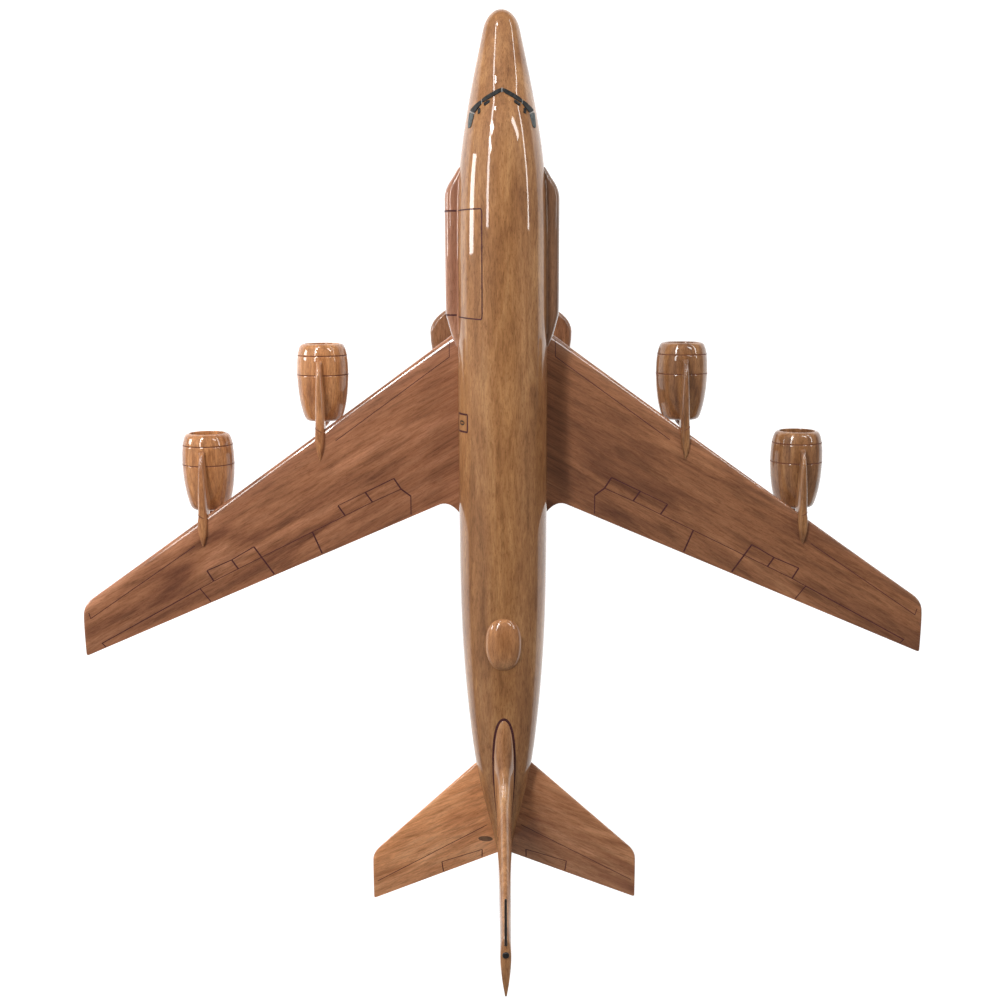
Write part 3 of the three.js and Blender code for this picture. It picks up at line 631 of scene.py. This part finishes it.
DOWEL_WOOD = speckled("dowel_wood", (0.42, 0.25, 0.12), (0.58, 0.38, 0.2), 0.8, 0.7)
FELT = speckled("felt", (0.012, 0.03, 0.016), (0.028, 0.06, 0.032), 0.35, 0.95, bump=0.9)
BRASS = brushed_metal("brass", (0.66, 0.45, 0.17), 0.26)
STEEL = brushed_metal("steel", (0.55, 0.55, 0.56), 0.28)


# ---------- pieces

def put(name, solid, material, replaced=(), body="aircraft", sharp=40, row_frame=False):
    """Makes a piece, rides it on its body and hides the CAD nodes it replaces."""
    vertices, faces = solid
    vertices = np.asarray(vertices) * MM if row_frame else to_row(vertices)
    piece = make_object(name, vertices, faces, material, sharp)
    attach(piece, body)
    if replaced:
        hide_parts(*replaced)


def mirror(solid, side):
    """The solid itself on port, its mirror image on starboard."""
    vertices, faces = solid
    if side > 0:
        return solid
    return vertices * [-1, 1, 1], [tuple(reversed(face)) for face in faces]


def put_pair(name, solid, material, replaced=None):
    """A port piece and its mirror image; both names, and the CAD nodes' names, end in the side."""
    for side, sign in SIDES.items():
        finish = material[side] if isinstance(material, dict) else material
        put(f"{name}_{side}", mirror(solid, sign), finish, [f"{replaced}_{side}"] if replaced else ())


def make_fuselage():
    cap = np.array([0.02, 0.12, 0.3, 0.6, 1, 1.5, 2.1, 2.8, 3.6, 4.5, 5.5, 6.7, 8])
    stations = [*(cap + NOSE_TIP), *np.arange(9.5, FUSELAGE_END - 1, 2.0), FUSELAGE_END - 0.4, FUSELAGE_END]
    degrees = np.degrees(full_turn(144))
    rings = np.array([fuselage_point(s, degrees) for s in stations])
    end = rings[-1, :, ::2]
    end[:] = end * 0.8 + end.mean(0) * 0.2
    put("fuselage_skin", loft(rings), BODY_WOOD, ["fuselage"])


CHEEK_INNER, CHEEK_TOP, CHEEK_BOTTOM = 12, 5.5, -13.5
CHEEK_PLAN = [(68.5, 19.9), (70.5, 21.2), (72.5, 22.4), (74.5, 23.8), (76.7, 25.1), (79.2, 26), (82, 26.4),
              (122, 26.4), (133, 26.3), (138, 25.2), (144, 23.5), (149, 21.6)]


def cheek_point(s, degrees):
    """Skin of the cheek fairing; degrees go round from straight out, over the top."""
    s, turn = np.broadcast_arrays(np.asarray(s, float), np.radians(np.asarray(degrees, float)))
    half = (curve(CHEEK_PLAN, s) - CHEEK_INNER) / 2
    x, z = superellipse(turn, 4.5)
    middle, height = (CHEEK_TOP + CHEEK_BOTTOM) / 2, (CHEEK_TOP - CHEEK_BOTTOM) / 2
    return place(CHEEK_INNER + half + x * half, s, middle + z * height)


def make_cheeks():
    degrees = np.degrees(full_turn(72))
    rings = [cheek_point(s, degrees) for s in np.linspace(CHEEK_PLAN[0][0], CHEEK_PLAN[-1][0], 90)]
    put_pair("cheek_skin", loft(rings), CHEEK_WOOD, "cheek_fairing")
    put_pair("cheek_fillet", cheek_fillet(), CHEEK_WOOD)


def cheek_fillet(radius=1.3):
    """Lacquer and filler in the corner between the cheek's top and the fuselage."""
    turn = np.linspace(-np.pi / 2, -np.pi, 9) - 0.25
    rings = []
    for s in np.linspace(74, 143, 60):
        half, top, bottom = fuselage_section(s)
        height = (CHEEK_TOP + radius - (top + bottom) / 2) / ((top - bottom) / 2)
        edge = half * (1 - height**SQUARENESS) ** (1 / SQUARENESS)
        arc = place(edge + radius * (1 + np.cos(turn)), s, CHEEK_TOP + radius * (1 + np.sin(turn)))
        corner = [[edge - 1.2, s, CHEEK_TOP + radius * 0.6], [edge - 1, s, CHEEK_TOP - 0.8],
                  [edge + radius, s, CHEEK_TOP - 0.8]]
        rings.append(np.vstack([arc, corner]))
    return loft(rings)


def make_dome():
    low, high = node_box("dome_fairing")
    middle = (low + high) / 2 * [0, 1, 0]
    half_width, half_length = (high - low)[:2] / 2 + 0.1
    foot, top = 17, high[2]
    x, y = superellipse(full_turn(96), 2.3)
    rings = []
    for angle in np.linspace(0, 88, 28):
        reach, rise = superellipse(np.radians(angle), 2.4)
        height = foot + (top - foot) * rise
        rings.append(place(x * half_width * reach, y * half_length * reach, height) + middle)
    put("dome_skin", loft(rings), DOME_WOOD, ["dome_fairing"])


def make_blade(point, spans, count=48):
    """Loft of aerofoil sections over spanwise positions."""
    c, sides = chord_turn(count)
    return loft([point(span, c, sides) for span in spans])


def make_wings():
    tip = WING_TIP - np.array([6, 4.5, 3.2, 2.2, 1.4, 0.8, 0.35, 0.08, 0])
    solid = make_blade(wing_point, [*np.linspace(13, 33, 16), *np.linspace(36, 192, 60), *tip])
    put_pair("wing_skin", solid, WING_WOOD, "wing")


def make_stabilizers():
    tip = STABILIZER_TIP - np.array([4, 3, 2.1, 1.3, 0.7, 0.3, 0.05, 0])
    solid = make_blade(stabilizer_point, [*np.linspace(2, 58, 26), *tip], 40)
    put_pair("stabilizer_skin", solid, TAIL_WOOD, "stabilizer")


def make_fin():
    tip = FIN_TOP - np.array([2, 1.3, 0.8, 0.4, 0.15, 0])
    levels = np.array([6, 14, *np.linspace(20.4, 36, 52), *np.linspace(37, 90, 30), *tip])
    put("fin_skin", make_blade(fin_point, levels), FIN_WOOD, ["fin"])


def make_fin_fittings():
    low, high = node_box("fin_tip_probe")
    axis = (low + high) / 2 * [0, 0, 1]
    start, end = low[1], high[1]
    profile = [(0, start), (0.3, start + 0.1), (0.5, start + 0.4), (0.55, start + 1.2), (0.6, end - 2),
               (0.6, end - 0.1), (0.4, end), (0, end)]
    put("fin_probe", lathe(profile, axis, count=32), BLACK_PAINT, ["fin_tip_probe"])
    low, high = node_box("fin_tip_beacon")
    base, radius = FIN_TOP - 0.6, (high[0] - low[0]) / 2
    profile = [(0, base)] + [(radius * math.cos(t), base + 0.6 + 0.75 * math.sin(t))
                             for t in np.linspace(0, math.pi / 2, 10)]
    put("fin_beacon", lathe(profile, (low + high) / 2 * [0, 1, 0], "z", 40), BLACK_PAINT,
        ["fin_tip_beacon"])


INTAKE_RADIUS, INTAKE_DEPTH, EXHAUST_DEPTH = 8.4, 11, 32
LIP_RADIUS = 0.45
RINGS_AT = (5.6, 14.8)      # grooves round a nacelle, as distances behind its lip
GROOVE = 0.16


def engine_place(name):
    """Middle of a nacelle's lip, and its greatest radius and length."""
    low, high = node_box(f"nacelle_{name}")
    width, length, _ = high - low
    return np.array([(low[0] + high[0]) / 2, low[1], (low[2] + high[2]) / 2]), width / 2, length


def nacelle_radius(distance, radius, length):
    rows = [(0, 9.3), (0.6, 10.2), (2.6, 11.2), (5.5, 11.85), (10, 12.3), (14, radius), (20, 12.15),
            (27, 11.35), (33, 10), (36, 8.9), (length, 7.9)]
    return float(curve(rows, distance))


def nacelle_profile(radius, length):
    lip = [(INTAKE_RADIUS + LIP_RADIUS * (1 - math.cos(t)), LIP_RADIUS * (1 - math.sin(t)))
           for t in np.linspace(0, math.pi * 0.75, 9)]
    distances = [*np.linspace(0.25, length - 0.6, 60)]
    distances += [ring + step for ring in RINGS_AT for step in (-0.35, -0.14, 0.14, 0.35)]
    outside = []
    for distance in sorted(set(np.round(distances, 3))):
        groove = GROOVE if any(abs(distance - ring) < 0.2 for ring in RINGS_AT) else 0
        outside.append((nacelle_radius(distance, radius, length) - groove, distance))
    back = [(8, length - 0.2), (7.6, length), (6.5, length), (6.2, length - 0.3), (5.8, EXHAUST_DEPTH),
            (0, EXHAUST_DEPTH)]
    return [(0, INTAKE_DEPTH), (INTAKE_RADIUS, INTAKE_DEPTH)] + lip + outside + back


def make_engines():
    cone = [(0, 32.2), (4.2, 32.2), (4.15, 33.5), (3.9, 35), (3.2, 37), (2.3, 38.7), (1.2, 40), (0.5, 40.5),
            (0, 40.6)]
    for name in ENGINES:
        centre, radius, length = engine_place(name)
        side = name.split("_")[1]
        wood = NACELLE_WOOD[side]
        put(f"nacelle_skin_{name}", lathe(nacelle_profile(radius, length), centre), wood,
            [f"nacelle_{name}"], sharp=50)
        lines = []
        for ring in RINGS_AT:
            r = nacelle_radius(ring, radius, length)
            section = [(r - 0.3, -0.2), (r + 0.02, -0.2), (r + 0.02, 0.2), (r - 0.3, 0.2)]
            lines.append(lathe([(across, ring + behind) for across, behind in section], centre))
        put(f"nacelle_rings_{name}", join(*lines), SEAM_LINE)
        put(f"fan_{name}", fan(centre), FAN_METAL, [f"intake_fan_{name}"], sharp=30)
        put(f"exhaust_skin_{name}", lathe(cone, centre, count=64), wood,
            [f"exhaust_cone_{name}"])
        skin, seam = pylon(centre * [SIDES[side], 1, 1], radius, length)
        put(f"pylon_skin_{name}", mirror(skin, SIDES[side]), PYLON_WOOD[side],
            [f"pylon_{name}"])
        put(f"pylon_seam_{name}", mirror(seam, SIDES[side]), SEAM_LINE)


def fan(centre, blades=22):
    """Backing disc, spinner and raked blades."""
    back, rim = INTAKE_DEPTH - 0.3, INTAKE_RADIUS - 0.3
    disc = [(0, back - 0.5), (rim, back - 0.5), (rim, back), (0, back)]
    spinner = [(0, back - 5.4), (0.6, back - 5.2), (1.4, back - 4.5), (2.1, back - 3.4), (2.5, back - 2.2),
               (2.6, back - 0.4), (0, back - 0.4)]
    solids = [lathe(disc, centre, count=64), lathe(spinner, centre, count=48)]
    for turn in 2 * math.pi * np.arange(blades) / blades:
        rings = []
        for r, twist in ((2.4, 0.16), (5.4, 0.1), (INTAKE_RADIUS - 0.5, 0.075)):
            corners = [(turn - twist, back - 1.7), (turn - twist + 0.03, back - 1.8),
                       (turn + twist, back - 0.5), (turn + twist - 0.03, back - 0.4)]
            rings.append([[r * math.cos(t), d, r * math.sin(t)] for t, d in corners])
        vertices, faces = loft(rings)
        solids.append((vertices + centre, faces))
    return join(*solids)


def pylon(centre, radius, length):
    """Port blade from the nacelle's back to the wing, ending in a spear on the wing, and its glue line."""
    span, lip, middle = centre
    leading, plane = float(wing_edges(span)[0]), wing_plane(span)
    top, front, tip = middle + radius, lip + 7.4, leading + 13
    crest = [(front, top - 0.2), (front + 1.2, top + 2), (front + 9, top + 5), (leading - 6, plane + 3.5),
             (leading + 3, plane + 4.0), (leading + 8, plane + 4.25), (tip, plane + 3.3)]
    keel = [(front, middle + 6), (lip + length - 5, middle + 5.5), (lip + length + 1, middle + 8.5),
            (leading + 1, plane - 1), (tip, plane + 0.5)]
    breadth = [(front, 1.3), (front + 0.8, 1.7), (front + 2.4, 1.35), (front + 7, 1.5), (leading - 5, 2.2),
               (leading + 4, 2.2), (leading + 10, 1.25), (tip, 0.3)]
    squareness = 2.8
    x, z = superellipse(full_turn(40), squareness)

    def ring(s, half, high, low):
        return place(x * half, s, (high + low) / 2 + z * (high - low) / 2)

    stations = np.linspace(front, tip, 60)
    spear = loft([ring(*row) for row in zip(stations, curve(breadth, stations), curve(crest, stations),
                                            curve(keel, stations))])
    web = []
    web_front, web_tip = leading - 4, leading + 22
    for s in np.linspace(web_front, web_tip, 24):
        t = (s - web_front) / (web_tip - web_front)
        web.append(ring(s, 2.1 * (1 - t**2) + 0.2, plane, plane - taper((5.6, 4.4), t)))
    vertices, faces = join(spear, loft(web))

    at = leading - 1
    half, high, low = (float(curve(rows, at)) for rows in (breadth, crest, keel))
    px, pz = superellipse(np.radians(np.linspace(15, 165, 15)), squareness)
    height = (high + low) / 2
    seam = place(span + px * half, at - 0.6 * px * half, height + pz * (high - low) / 2)
    normals = unit((seam - [span, at, height]) * [1, 0, 1])
    return (vertices + [span, 0, 0], faces), ribbon(seam, normals, 0.5, lift=0.06)


# ---------- windows and engraved lines

# Corners of the port panes and ends of the posts, as distances aft and degrees from the top.
FRONT_PANE = [(35.6, 1.0), (40.2, 33), (42.2, 32), (37.6, 1.0)]
MIDDLE_PANE = [(40.7, 35), (44.6, 60.5), (46.2, 46), (42.6, 33.8)]
SIDE_PANE = [(45.3, 61.5), (52.4, 58.5), (52.2, 51), (46.7, 46.5)]
EYEBROWS = {"front": [(40.8, 19), (42.4, 29), (43.6, 28), (42.1, 18.4)],
            "rear": [(44.1, 35), (44.8, 39.5), (47.0, 38), (46.3, 34)]}
POSTS = [[(40.4, 34), (42.5, 32.9)], [(44.9, 61), (46.5, 46.2)], [(35.6, 0.2), (37.6, 0.2)]]


def make_windows():
    panes = [slab(fuselage_point, corners) for corners in (FRONT_PANE, MIDDLE_PANE)]
    put_pair("windshield_glass", join(*panes), WINDOW_GLASS, "windshield")
    put_pair("side_glass", slab(fuselage_point, SIDE_PANE), SIDE_GLASS)
    for end, corners in EYEBROWS.items():
        put_pair(f"eyebrow_glass_{end}", slab(fuselage_point, corners), WINDOW_GLASS,
                 f"eyebrow_window_{end}")
    strips = []
    for post in POSTS:
        points, normals = trace(fuselage_point, post, 0.5)
        strips.append(ribbon(points, -normals, 0.32, lift=0.09))
    put_pair("window_posts", join(*strips), WINDOW_FRAME)


def make_door(front=87.7, rear=135.6, edge=24.6):
    """Outline of the port cargo door, over fuselage and cheek."""
    on_skin = round_corners([(front, 88), (front, edge), (rear + 0.6, edge), (rear - 0.8, 88)], 2.4)
    lines = [ribbon(*trace(fuselage_point, on_skin, 0.8), 0.62)]
    lines += [ribbon(*trace(cheek_point, [(s, 110), (s, -30)], 0.6), 0.8) for s in (front, rear - 1.2)]
    put("cargo_door_line", join(*lines), BURNT_LINE)


def make_hatch(front=179.5, rear=187.6, high=50, low=78):
    """A small square hatch on the port side, with a dark spot in it."""
    middle = 183
    corners = round_corners([(middle, high), (front, high), (front, low), (rear, low), (rear, high),
                             (middle, high)], 1.2)
    points, normals = trace(fuselage_point, corners, 0.6)
    outline = ribbon(points[:-1], normals[:-1], 0.9, lift=0.1, closed=True)
    put("hatch_line", outline, BURNT_LINE)
    put("hatch_spot", spot(fuselage_point, (183.6, 64), (1.2, 7), 28, 0.06), BLACK_PAINT)


HINGE = 0.768     # chord fraction of the wing's control surfaces' front edge
END = 0.985       # where a line stops short of the trailing edge
FAINT, PLAIN, BOLD = 0.34, 0.48, 0.72

# Width and corners, as spans and chord fractions.
WING_LINES = [
    (FAINT, [(25.2, 0.012), (25.2, 0.115), (79.5, 0.15)]),
    (FAINT, [(146.7, 0.248), (196.4, 0.336), (197.2, 0.2)]),
    (FAINT, [(79.2, 0.661), (66.1, 0.67)]),
    (PLAIN, [(66.1, 0.67), (52.4, 0.678)]),
    (BOLD, [(52.4, 0.678), (49.1, 0.777), (44.5, 0.858)]),
    (PLAIN, [(44.5, 0.858), (44.6, END)]),
    (BOLD, [(66.1, 0.67), (62.9, HINGE)]),
    (BOLD, [(79.2, 0.661), (76.0, HINGE)]),
    (FAINT, [(49.1, 0.777), (62.9, HINGE), (138.9, HINGE), (145.4, 0.779)]),
    (PLAIN, [(145.4, 0.779), (140.9, END)]),
    (BOLD, [(91.7, HINGE), (87.6, END)]),
    (BOLD, [(119.4, 0.626), (110.6, END)]),
    (PLAIN, [(119.4, 0.626), (130, 0.639), (141.7, 0.611)]),
    (BOLD, [(141.7, 0.611), (138.9, HINGE)]),
    (BOLD, [(130, 0.639), (127.2, HINGE)]),
    (PLAIN, [(145.4, 0.779), (192.2, 0.89), (190.6, END)]),
]
STABILIZER_LINES = [
    (FAINT, [(8.5, 0.68), (62.6, 0.65)]),
    (PLAIN, [(11, END), (10.9, 0.91)]),
    (FAINT, [(10.9, 0.91), (30.9, 0.852)]),
    (PLAIN, [(30.9, 0.852), (30.2, END)]),
]


def engraved(lines, point, top):
    strips = []
    for width, line in lines:
        corners = [tuple(point(np.float64(x), c)[:2]) for x, c in line]
        strips.append(ribbon(*trace(top, corners, 1.5, upward=True), width))
    return join(*strips)


def make_panel_lines():
    put_pair("wing_lines", engraved(WING_LINES, wing_point, wing_top), BURNT_LINE)
    put_pair("stabilizer_lines", engraved(STABILIZER_LINES, stabilizer_point, stabilizer_top), BURNT_LINE)


def make_knot():
    """Dark oval knot at the port stabilizer's root."""
    oval = spot(stabilizer_top, (9.2, 391.6), (3.6, 1.4), 40, 0.03, slant=-0.5, upward=True)
    put("stabilizer_knot", oval, KNOT)


def make_fin_seam():
    """Dark glue line round the fin's foot."""
    places = 0.5 - 0.5 * np.cos(np.linspace(0, np.pi, 90))
    half = []
    for c in places[places < 0.93]:
        z = 20.0
        for _ in range(6):
            x, s = fin_point(np.float64(z), c)[:2]
            z = float(fuselage_height(x, s))
        half.append([x + 0.12 * min(1, c * 20), s - (0.12 if c < 0.01 else 0), z])
    half = np.array(half)
    path = np.vstack([half[::-1], half[1:] * [-1, 1, 1]])
    x, s = path[:, 0], path[:, 1]
    slope_x = (fuselage_height(x + 0.05, s) - fuselage_height(x - 0.05, s)) / 0.1
    slope_s = fuselage_height(x, s + 0.5) - fuselage_height(x, s - 0.5)
    normals = unit(place(-slope_x, -slope_s, 1))
    width = np.interp(s, [323, 330, 345, 365, 380], [2.1, 1.9, 1.5, 0.8, 0.6])
    put("fin_seam", ribbon(path, normals, width, lift=0.07), BURNT_LINE)


# ---------- stand, in row-frame millimetres

def put_on_stand(name, solid, material, node, body="stand"):
    put(name, solid, material, [node], body, row_frame=True)


def bezier(p, q, r, t, count=14):
    p, q, r, t = (np.array(v, float) for v in (p, q, r, t))
    k = np.linspace(0, 1, count, endpoint=False)[:, None]
    return (1 - k)**3 * p + 3 * k * (1 - k)**2 * q + 3 * k**2 * (1 - k) * r + k**3 * t


def half_ellipse(centre, half, reach, start, count=30):
    t = start + np.linspace(0, math.pi, count, endpoint=False)
    return np.stack([half * np.cos(t), centre + reach * np.sin(t)], 1)


FRONT_LOBE, REAR_LOBE, REAR_HALF, WAIST = 19.7, 19, 33, 27
WAIST_PLACE = 40.4     # behind the middle of the front lobe


def base_outline():
    """Waisted outline of the base, going round from the starboard end of its front lobe."""
    low, high = (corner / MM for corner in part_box("base_plate"))
    half, front, rear = high.x, low.y + FRONT_LOBE, high.y - REAR_LOBE
    middle = front + WAIST_PLACE
    return np.vstack([
        half_ellipse(front, half, FRONT_LOBE, math.pi),
        bezier((half, front), (half, front + 22), (WAIST, middle - 14), (WAIST, middle)),
        bezier((WAIST, middle), (WAIST, middle + 14), (REAR_HALF, rear - 16), (REAR_HALF, rear)),
        half_ellipse(rear, REAR_HALF, REAR_LOBE, 0),
        bezier((-REAR_HALF, rear), (-REAR_HALF, rear - 16), (-WAIST, middle + 14), (-WAIST, middle)),
        bezier((-WAIST, middle), (-WAIST, middle - 14), (-half, front + 22), (-half, front))])


def plate(outline, levels):
    """Closed solid through (inset, height) levels."""
    x, y = outline.T
    along_x, along_y = unit(np.roll(outline, -1, 0) - np.roll(outline, 1, 0)).T
    return loft([place(x - along_y * inset, y + along_x * inset, z) for inset, z in levels])


def make_base(edge=2.5):
    """Base plate with a small round edge below and a larger one above, and the felt under it."""
    outline = base_outline()
    bottom, top, _ = node_profile("base_plate")
    under = edge * 0.4
    levels = [(under * (1 - math.sin(t)), bottom + under * (1 - math.cos(t)))
              for t in np.linspace(0, math.pi / 2, 5)]
    levels += [(edge * (1 - math.cos(t)), top - edge * (1 - math.sin(t)))
               for t in np.linspace(0, math.pi / 2, 10)]
    put_on_stand("base_skin", plate(outline, levels), STAND_WOOD, "base_plate")
    _, top, _ = node_profile("felt_sheet")
    levels = [(2.1, 0), (2.0, 0.2), (2.0, top - 0.2), (2.1, top + 0.25)]
    put_on_stand("felt_pad", plate(outline, levels), FELT, "felt_sheet")


def make_column():
    low, high = (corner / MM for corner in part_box("stand_column"))
    bottom, top = low.z - 0.25, high.z
    foot, head = np.array([high.x + 0.35, high.y + 0.95]), np.array([8, 8.5])
    x, y = superellipse(full_turn(72), 2.4)
    rings = []
    for t in [0, 0.004, 0.012, *np.linspace(0.025, 0.985, 60), 0.992, 0.997, 1]:
        ends = (1 - np.clip([t / 0.012, (1 - t) / 0.015], 0, 1)) ** 2
        across, along = head + (foot - head) * (1 - t) ** 2.6 - 0.6 * ends.sum()
        rings.append(place(x * across, y * along, bottom + t * (top - bottom)))
    put_on_stand("column_skin", loft(rings), COLUMN_WOOD, "stand_column")


def node_profile(node):
    """Bottom, top and outer radius of an upright node."""
    low, high = (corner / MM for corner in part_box(node))
    return low.z, high.z, (high.x - low.x) / 2


def make_metal_parts(bore=2.75):
    axis = (0, 0, 0)
    bottom, top, radius = node_profile("stand_pin")
    profile = [(0, bottom), (radius, bottom), (radius, top - 1.2), (radius - 0.35, top - 0.4),
               (radius - 1.2, top), (0, top)]
    put_on_stand("pin_turned", lathe(profile, axis, "z", 48), STEEL, "stand_pin")
    bottom, top, radius = node_profile("swivel_washer")
    profile = [(bore, bottom), (radius - 0.2, bottom), (radius, bottom + 0.2), (radius, top - 0.2),
               (radius - 0.2, top), (bore, top)]
    put_on_stand("washer_turned", lathe(profile, axis, "z", 72), BRASS, "swivel_washer", "washer")
    bottom, top, radius = node_profile("belly_bush")
    flange = bottom + 1.3
    profile = [(bore, bottom + 0.25), (bore + 0.25, bottom), (radius - 0.3, bottom), (radius, bottom + 0.3),
               (radius, flange), (5, flange), (5, top), (bore, top)]
    put_on_stand("bush_turned", lathe(profile, axis, "z", 72), BRASS, "belly_bush", "aircraft")


def dress_cad_nodes():
    """Hidden pieces keep their CAD shape and get their real finish."""
    for name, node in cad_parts.items():
        for word, material in {"dowel": DOWEL_WOOD, "screw": STEEL}.items():
            if word in name:
                node.data.materials.clear()
                node.data.materials.append(material)


# ---------- camera, floor and light

CAMERA_DISTANCE = 572.2
CAMERA_TILT, CAMERA_LEAN, CAMERA_ROLL = (math.radians(angle) for angle in (10, 0.25, -0.2))
AIM = (1.4, 221.75, 0)
FLOOR_HALF = 4.0
FLOOR_BRIGHT, FLOOR_DARK = 0.5, 0.75     # metres from the stand
TUBE_DISTANCE, TUBE_AHEAD, TUBE_LENGTH = 0.8, 0.74, 1.2
EDGE_SLOPE = 0.7


def make_camera():
    camera = bpy.data.objects.new("camera", bpy.data.cameras.new("camera"))
    bpy.context.scene.collection.objects.link(camera)
    camera.data.sensor_width = 36
    camera.data.lens = 43.2
    camera.data.clip_start = 0.01
    back = Vector((math.sin(CAMERA_LEAN), -math.sin(CAMERA_TILT), math.cos(CAMERA_TILT))).normalized()
    right = Vector((0, -1, 0)).cross(back).normalized()
    turn = Matrix((right, back.cross(right), back)).transposed().to_4x4()
    aim = Matrix.Translation(Vector(to_row([AIM])[0]) + back * CAMERA_DISTANCE * MM)
    camera.matrix_world = aim @ turn @ Matrix.Rotation(CAMERA_ROLL, 4, "Z")
    bpy.context.scene.camera = camera


def make_floor():
    """Pale sheet under the model, with the room's darker floor beyond it."""
    material, tree, shader = new_material("floor")
    distance = add(tree, "VectorMath", {0: add(tree, "TexCoord")["Object"]}, operation="LENGTH")["Value"]
    fall = add(tree, "MapRange", {"Value": distance, "From Min": FLOOR_BRIGHT, "From Max": FLOOR_DARK},
               interpolation_type="SMOOTHSTEP")["Result"]
    feed(tree, shader, {
        "Base Color": ramp(tree, fall, [(0.0, 0.45), (1.0, 0.16)]), "Roughness": 0.9,
        "Emission Color": ramp(tree, distance, [(FLOOR_BRIGHT, 0.87), (FLOOR_DARK, 0.1)]),
        "Emission Strength": 1.0})
    corners = [(x * FLOOR_HALF, y * FLOOR_HALF, 0) for x, y in ((-1, -1), (1, -1), (1, 1), (-1, 1))]
    make_object("floor", corners, [(0, 1, 2, 3)], material)


def make_world():
    """A room that is dark overhead, and brighter to port."""
    world = bpy.data.worlds.new("studio")
    bpy.context.scene.world = world
    world.use_nodes = True
    tree = world.node_tree
    split = add(tree, "SeparateXYZ", {"Vector": add(tree, "TexCoord")["Generated"]})
    tone = ramp(tree, split["Z"], [(0.0, 0.2), (0.3, 0.36), (0.72, 0.38), (0.92, 0.12), (1.0, 0.05)])
    across = add(tree, "MapRange", {"Value": split["X"], "From Min": -1})["Result"]
    sides = ramp(tree, across, [(0.1, 0.62), (0.9, 1.2)])
    feed(tree, tree.nodes["Background"], {"Color": multiply(tree, 1.0, tone, sides), "Strength": 1.0})


def area_light(name, place, target, size, power, along=(0, 1, 0)):
    """A rectangular light; size is (across, along)."""
    data = bpy.data.lights.new(name, "AREA")
    data.shape = "RECTANGLE"
    data.size, data.size_y = size
    data.energy = power
    light = bpy.data.objects.new(name, data)
    bpy.context.scene.collection.objects.link(light)
    back = (Vector(place) - Vector(target)).normalized()
    side = Vector(along).cross(back).normalized()
    turn = Matrix((side, back.cross(side), back)).transposed().to_4x4()
    light.matrix_world = Matrix.Translation(place) @ turn


def strip_light(name, degrees, width, power, ahead=TUBE_AHEAD, length=TUBE_LENGTH):
    """A narrow tube along the model, seen from it at degrees from straight up, towards port."""
    turn = math.radians(degrees)
    centre = (TUBE_DISTANCE * math.sin(turn), -ahead, CENTRE_Z * MM + TUBE_DISTANCE * math.cos(turn))
    area_light(name, centre, (0, -ahead, CENTRE_Z * MM), (width, length), power)


def window_light(name, side, span, behind, size, power, distance=0.8):
    """A window whose reflection shows on a wing, at span and a little behind the leading edge."""
    camera = bpy.context.scene.camera.matrix_world.translation
    leading, trailing = wing_edges(span)
    point, normal = surface_frame(wing_point, np.float64(span), np.float64(behind / (trailing - leading)))
    normal = Vector(normal * np.sign(normal[2]) * [side, 1, 1])
    place = Vector(to_row([point * [side, 1, 1]])[0])
    view = (camera - place).normalized()
    towards = 2 * normal.dot(view) * normal - view
    area_light(name, place + towards * distance, place, size, power, along=(side, EDGE_SLOPE, 0))


def make_lights():
    strip_light("key", 33, 0.085, 4.7)
    strip_light("strip_starboard", -66, 0.06, 2.9)
    strip_light("strip_low_port", 82, 0.2, 2.2, ahead=0.22, length=0.22)
    window_light("window_port_near", 1, 41, 1.9, (0.14, 0.11), 1.5)
    window_light("window_port_far", 1, 90, 1.7, (0.14, 0.05), 0.7)
    window_light("window_starboard", -1, 70, 1.2, (0.1, 0.3), 1.4)
    area_light("front_spot", (0.28, -0.95, 0.75), (0, -0.1, CENTRE_Z * MM), (0.05, 0.07), 0.8)


# ---------- the scene

make_camera()
for make in (make_fuselage, make_cheeks, make_dome, make_wings, make_stabilizers, make_fin, make_fin_fittings,
             make_engines, make_windows, make_door, make_hatch, make_panel_lines, make_knot, make_fin_seam,
             make_base, make_column, make_metal_parts, dress_cad_nodes, make_floor, make_world, make_lights):
    make()
bpy.context.scene.view_settings.view_transform = "Standard"
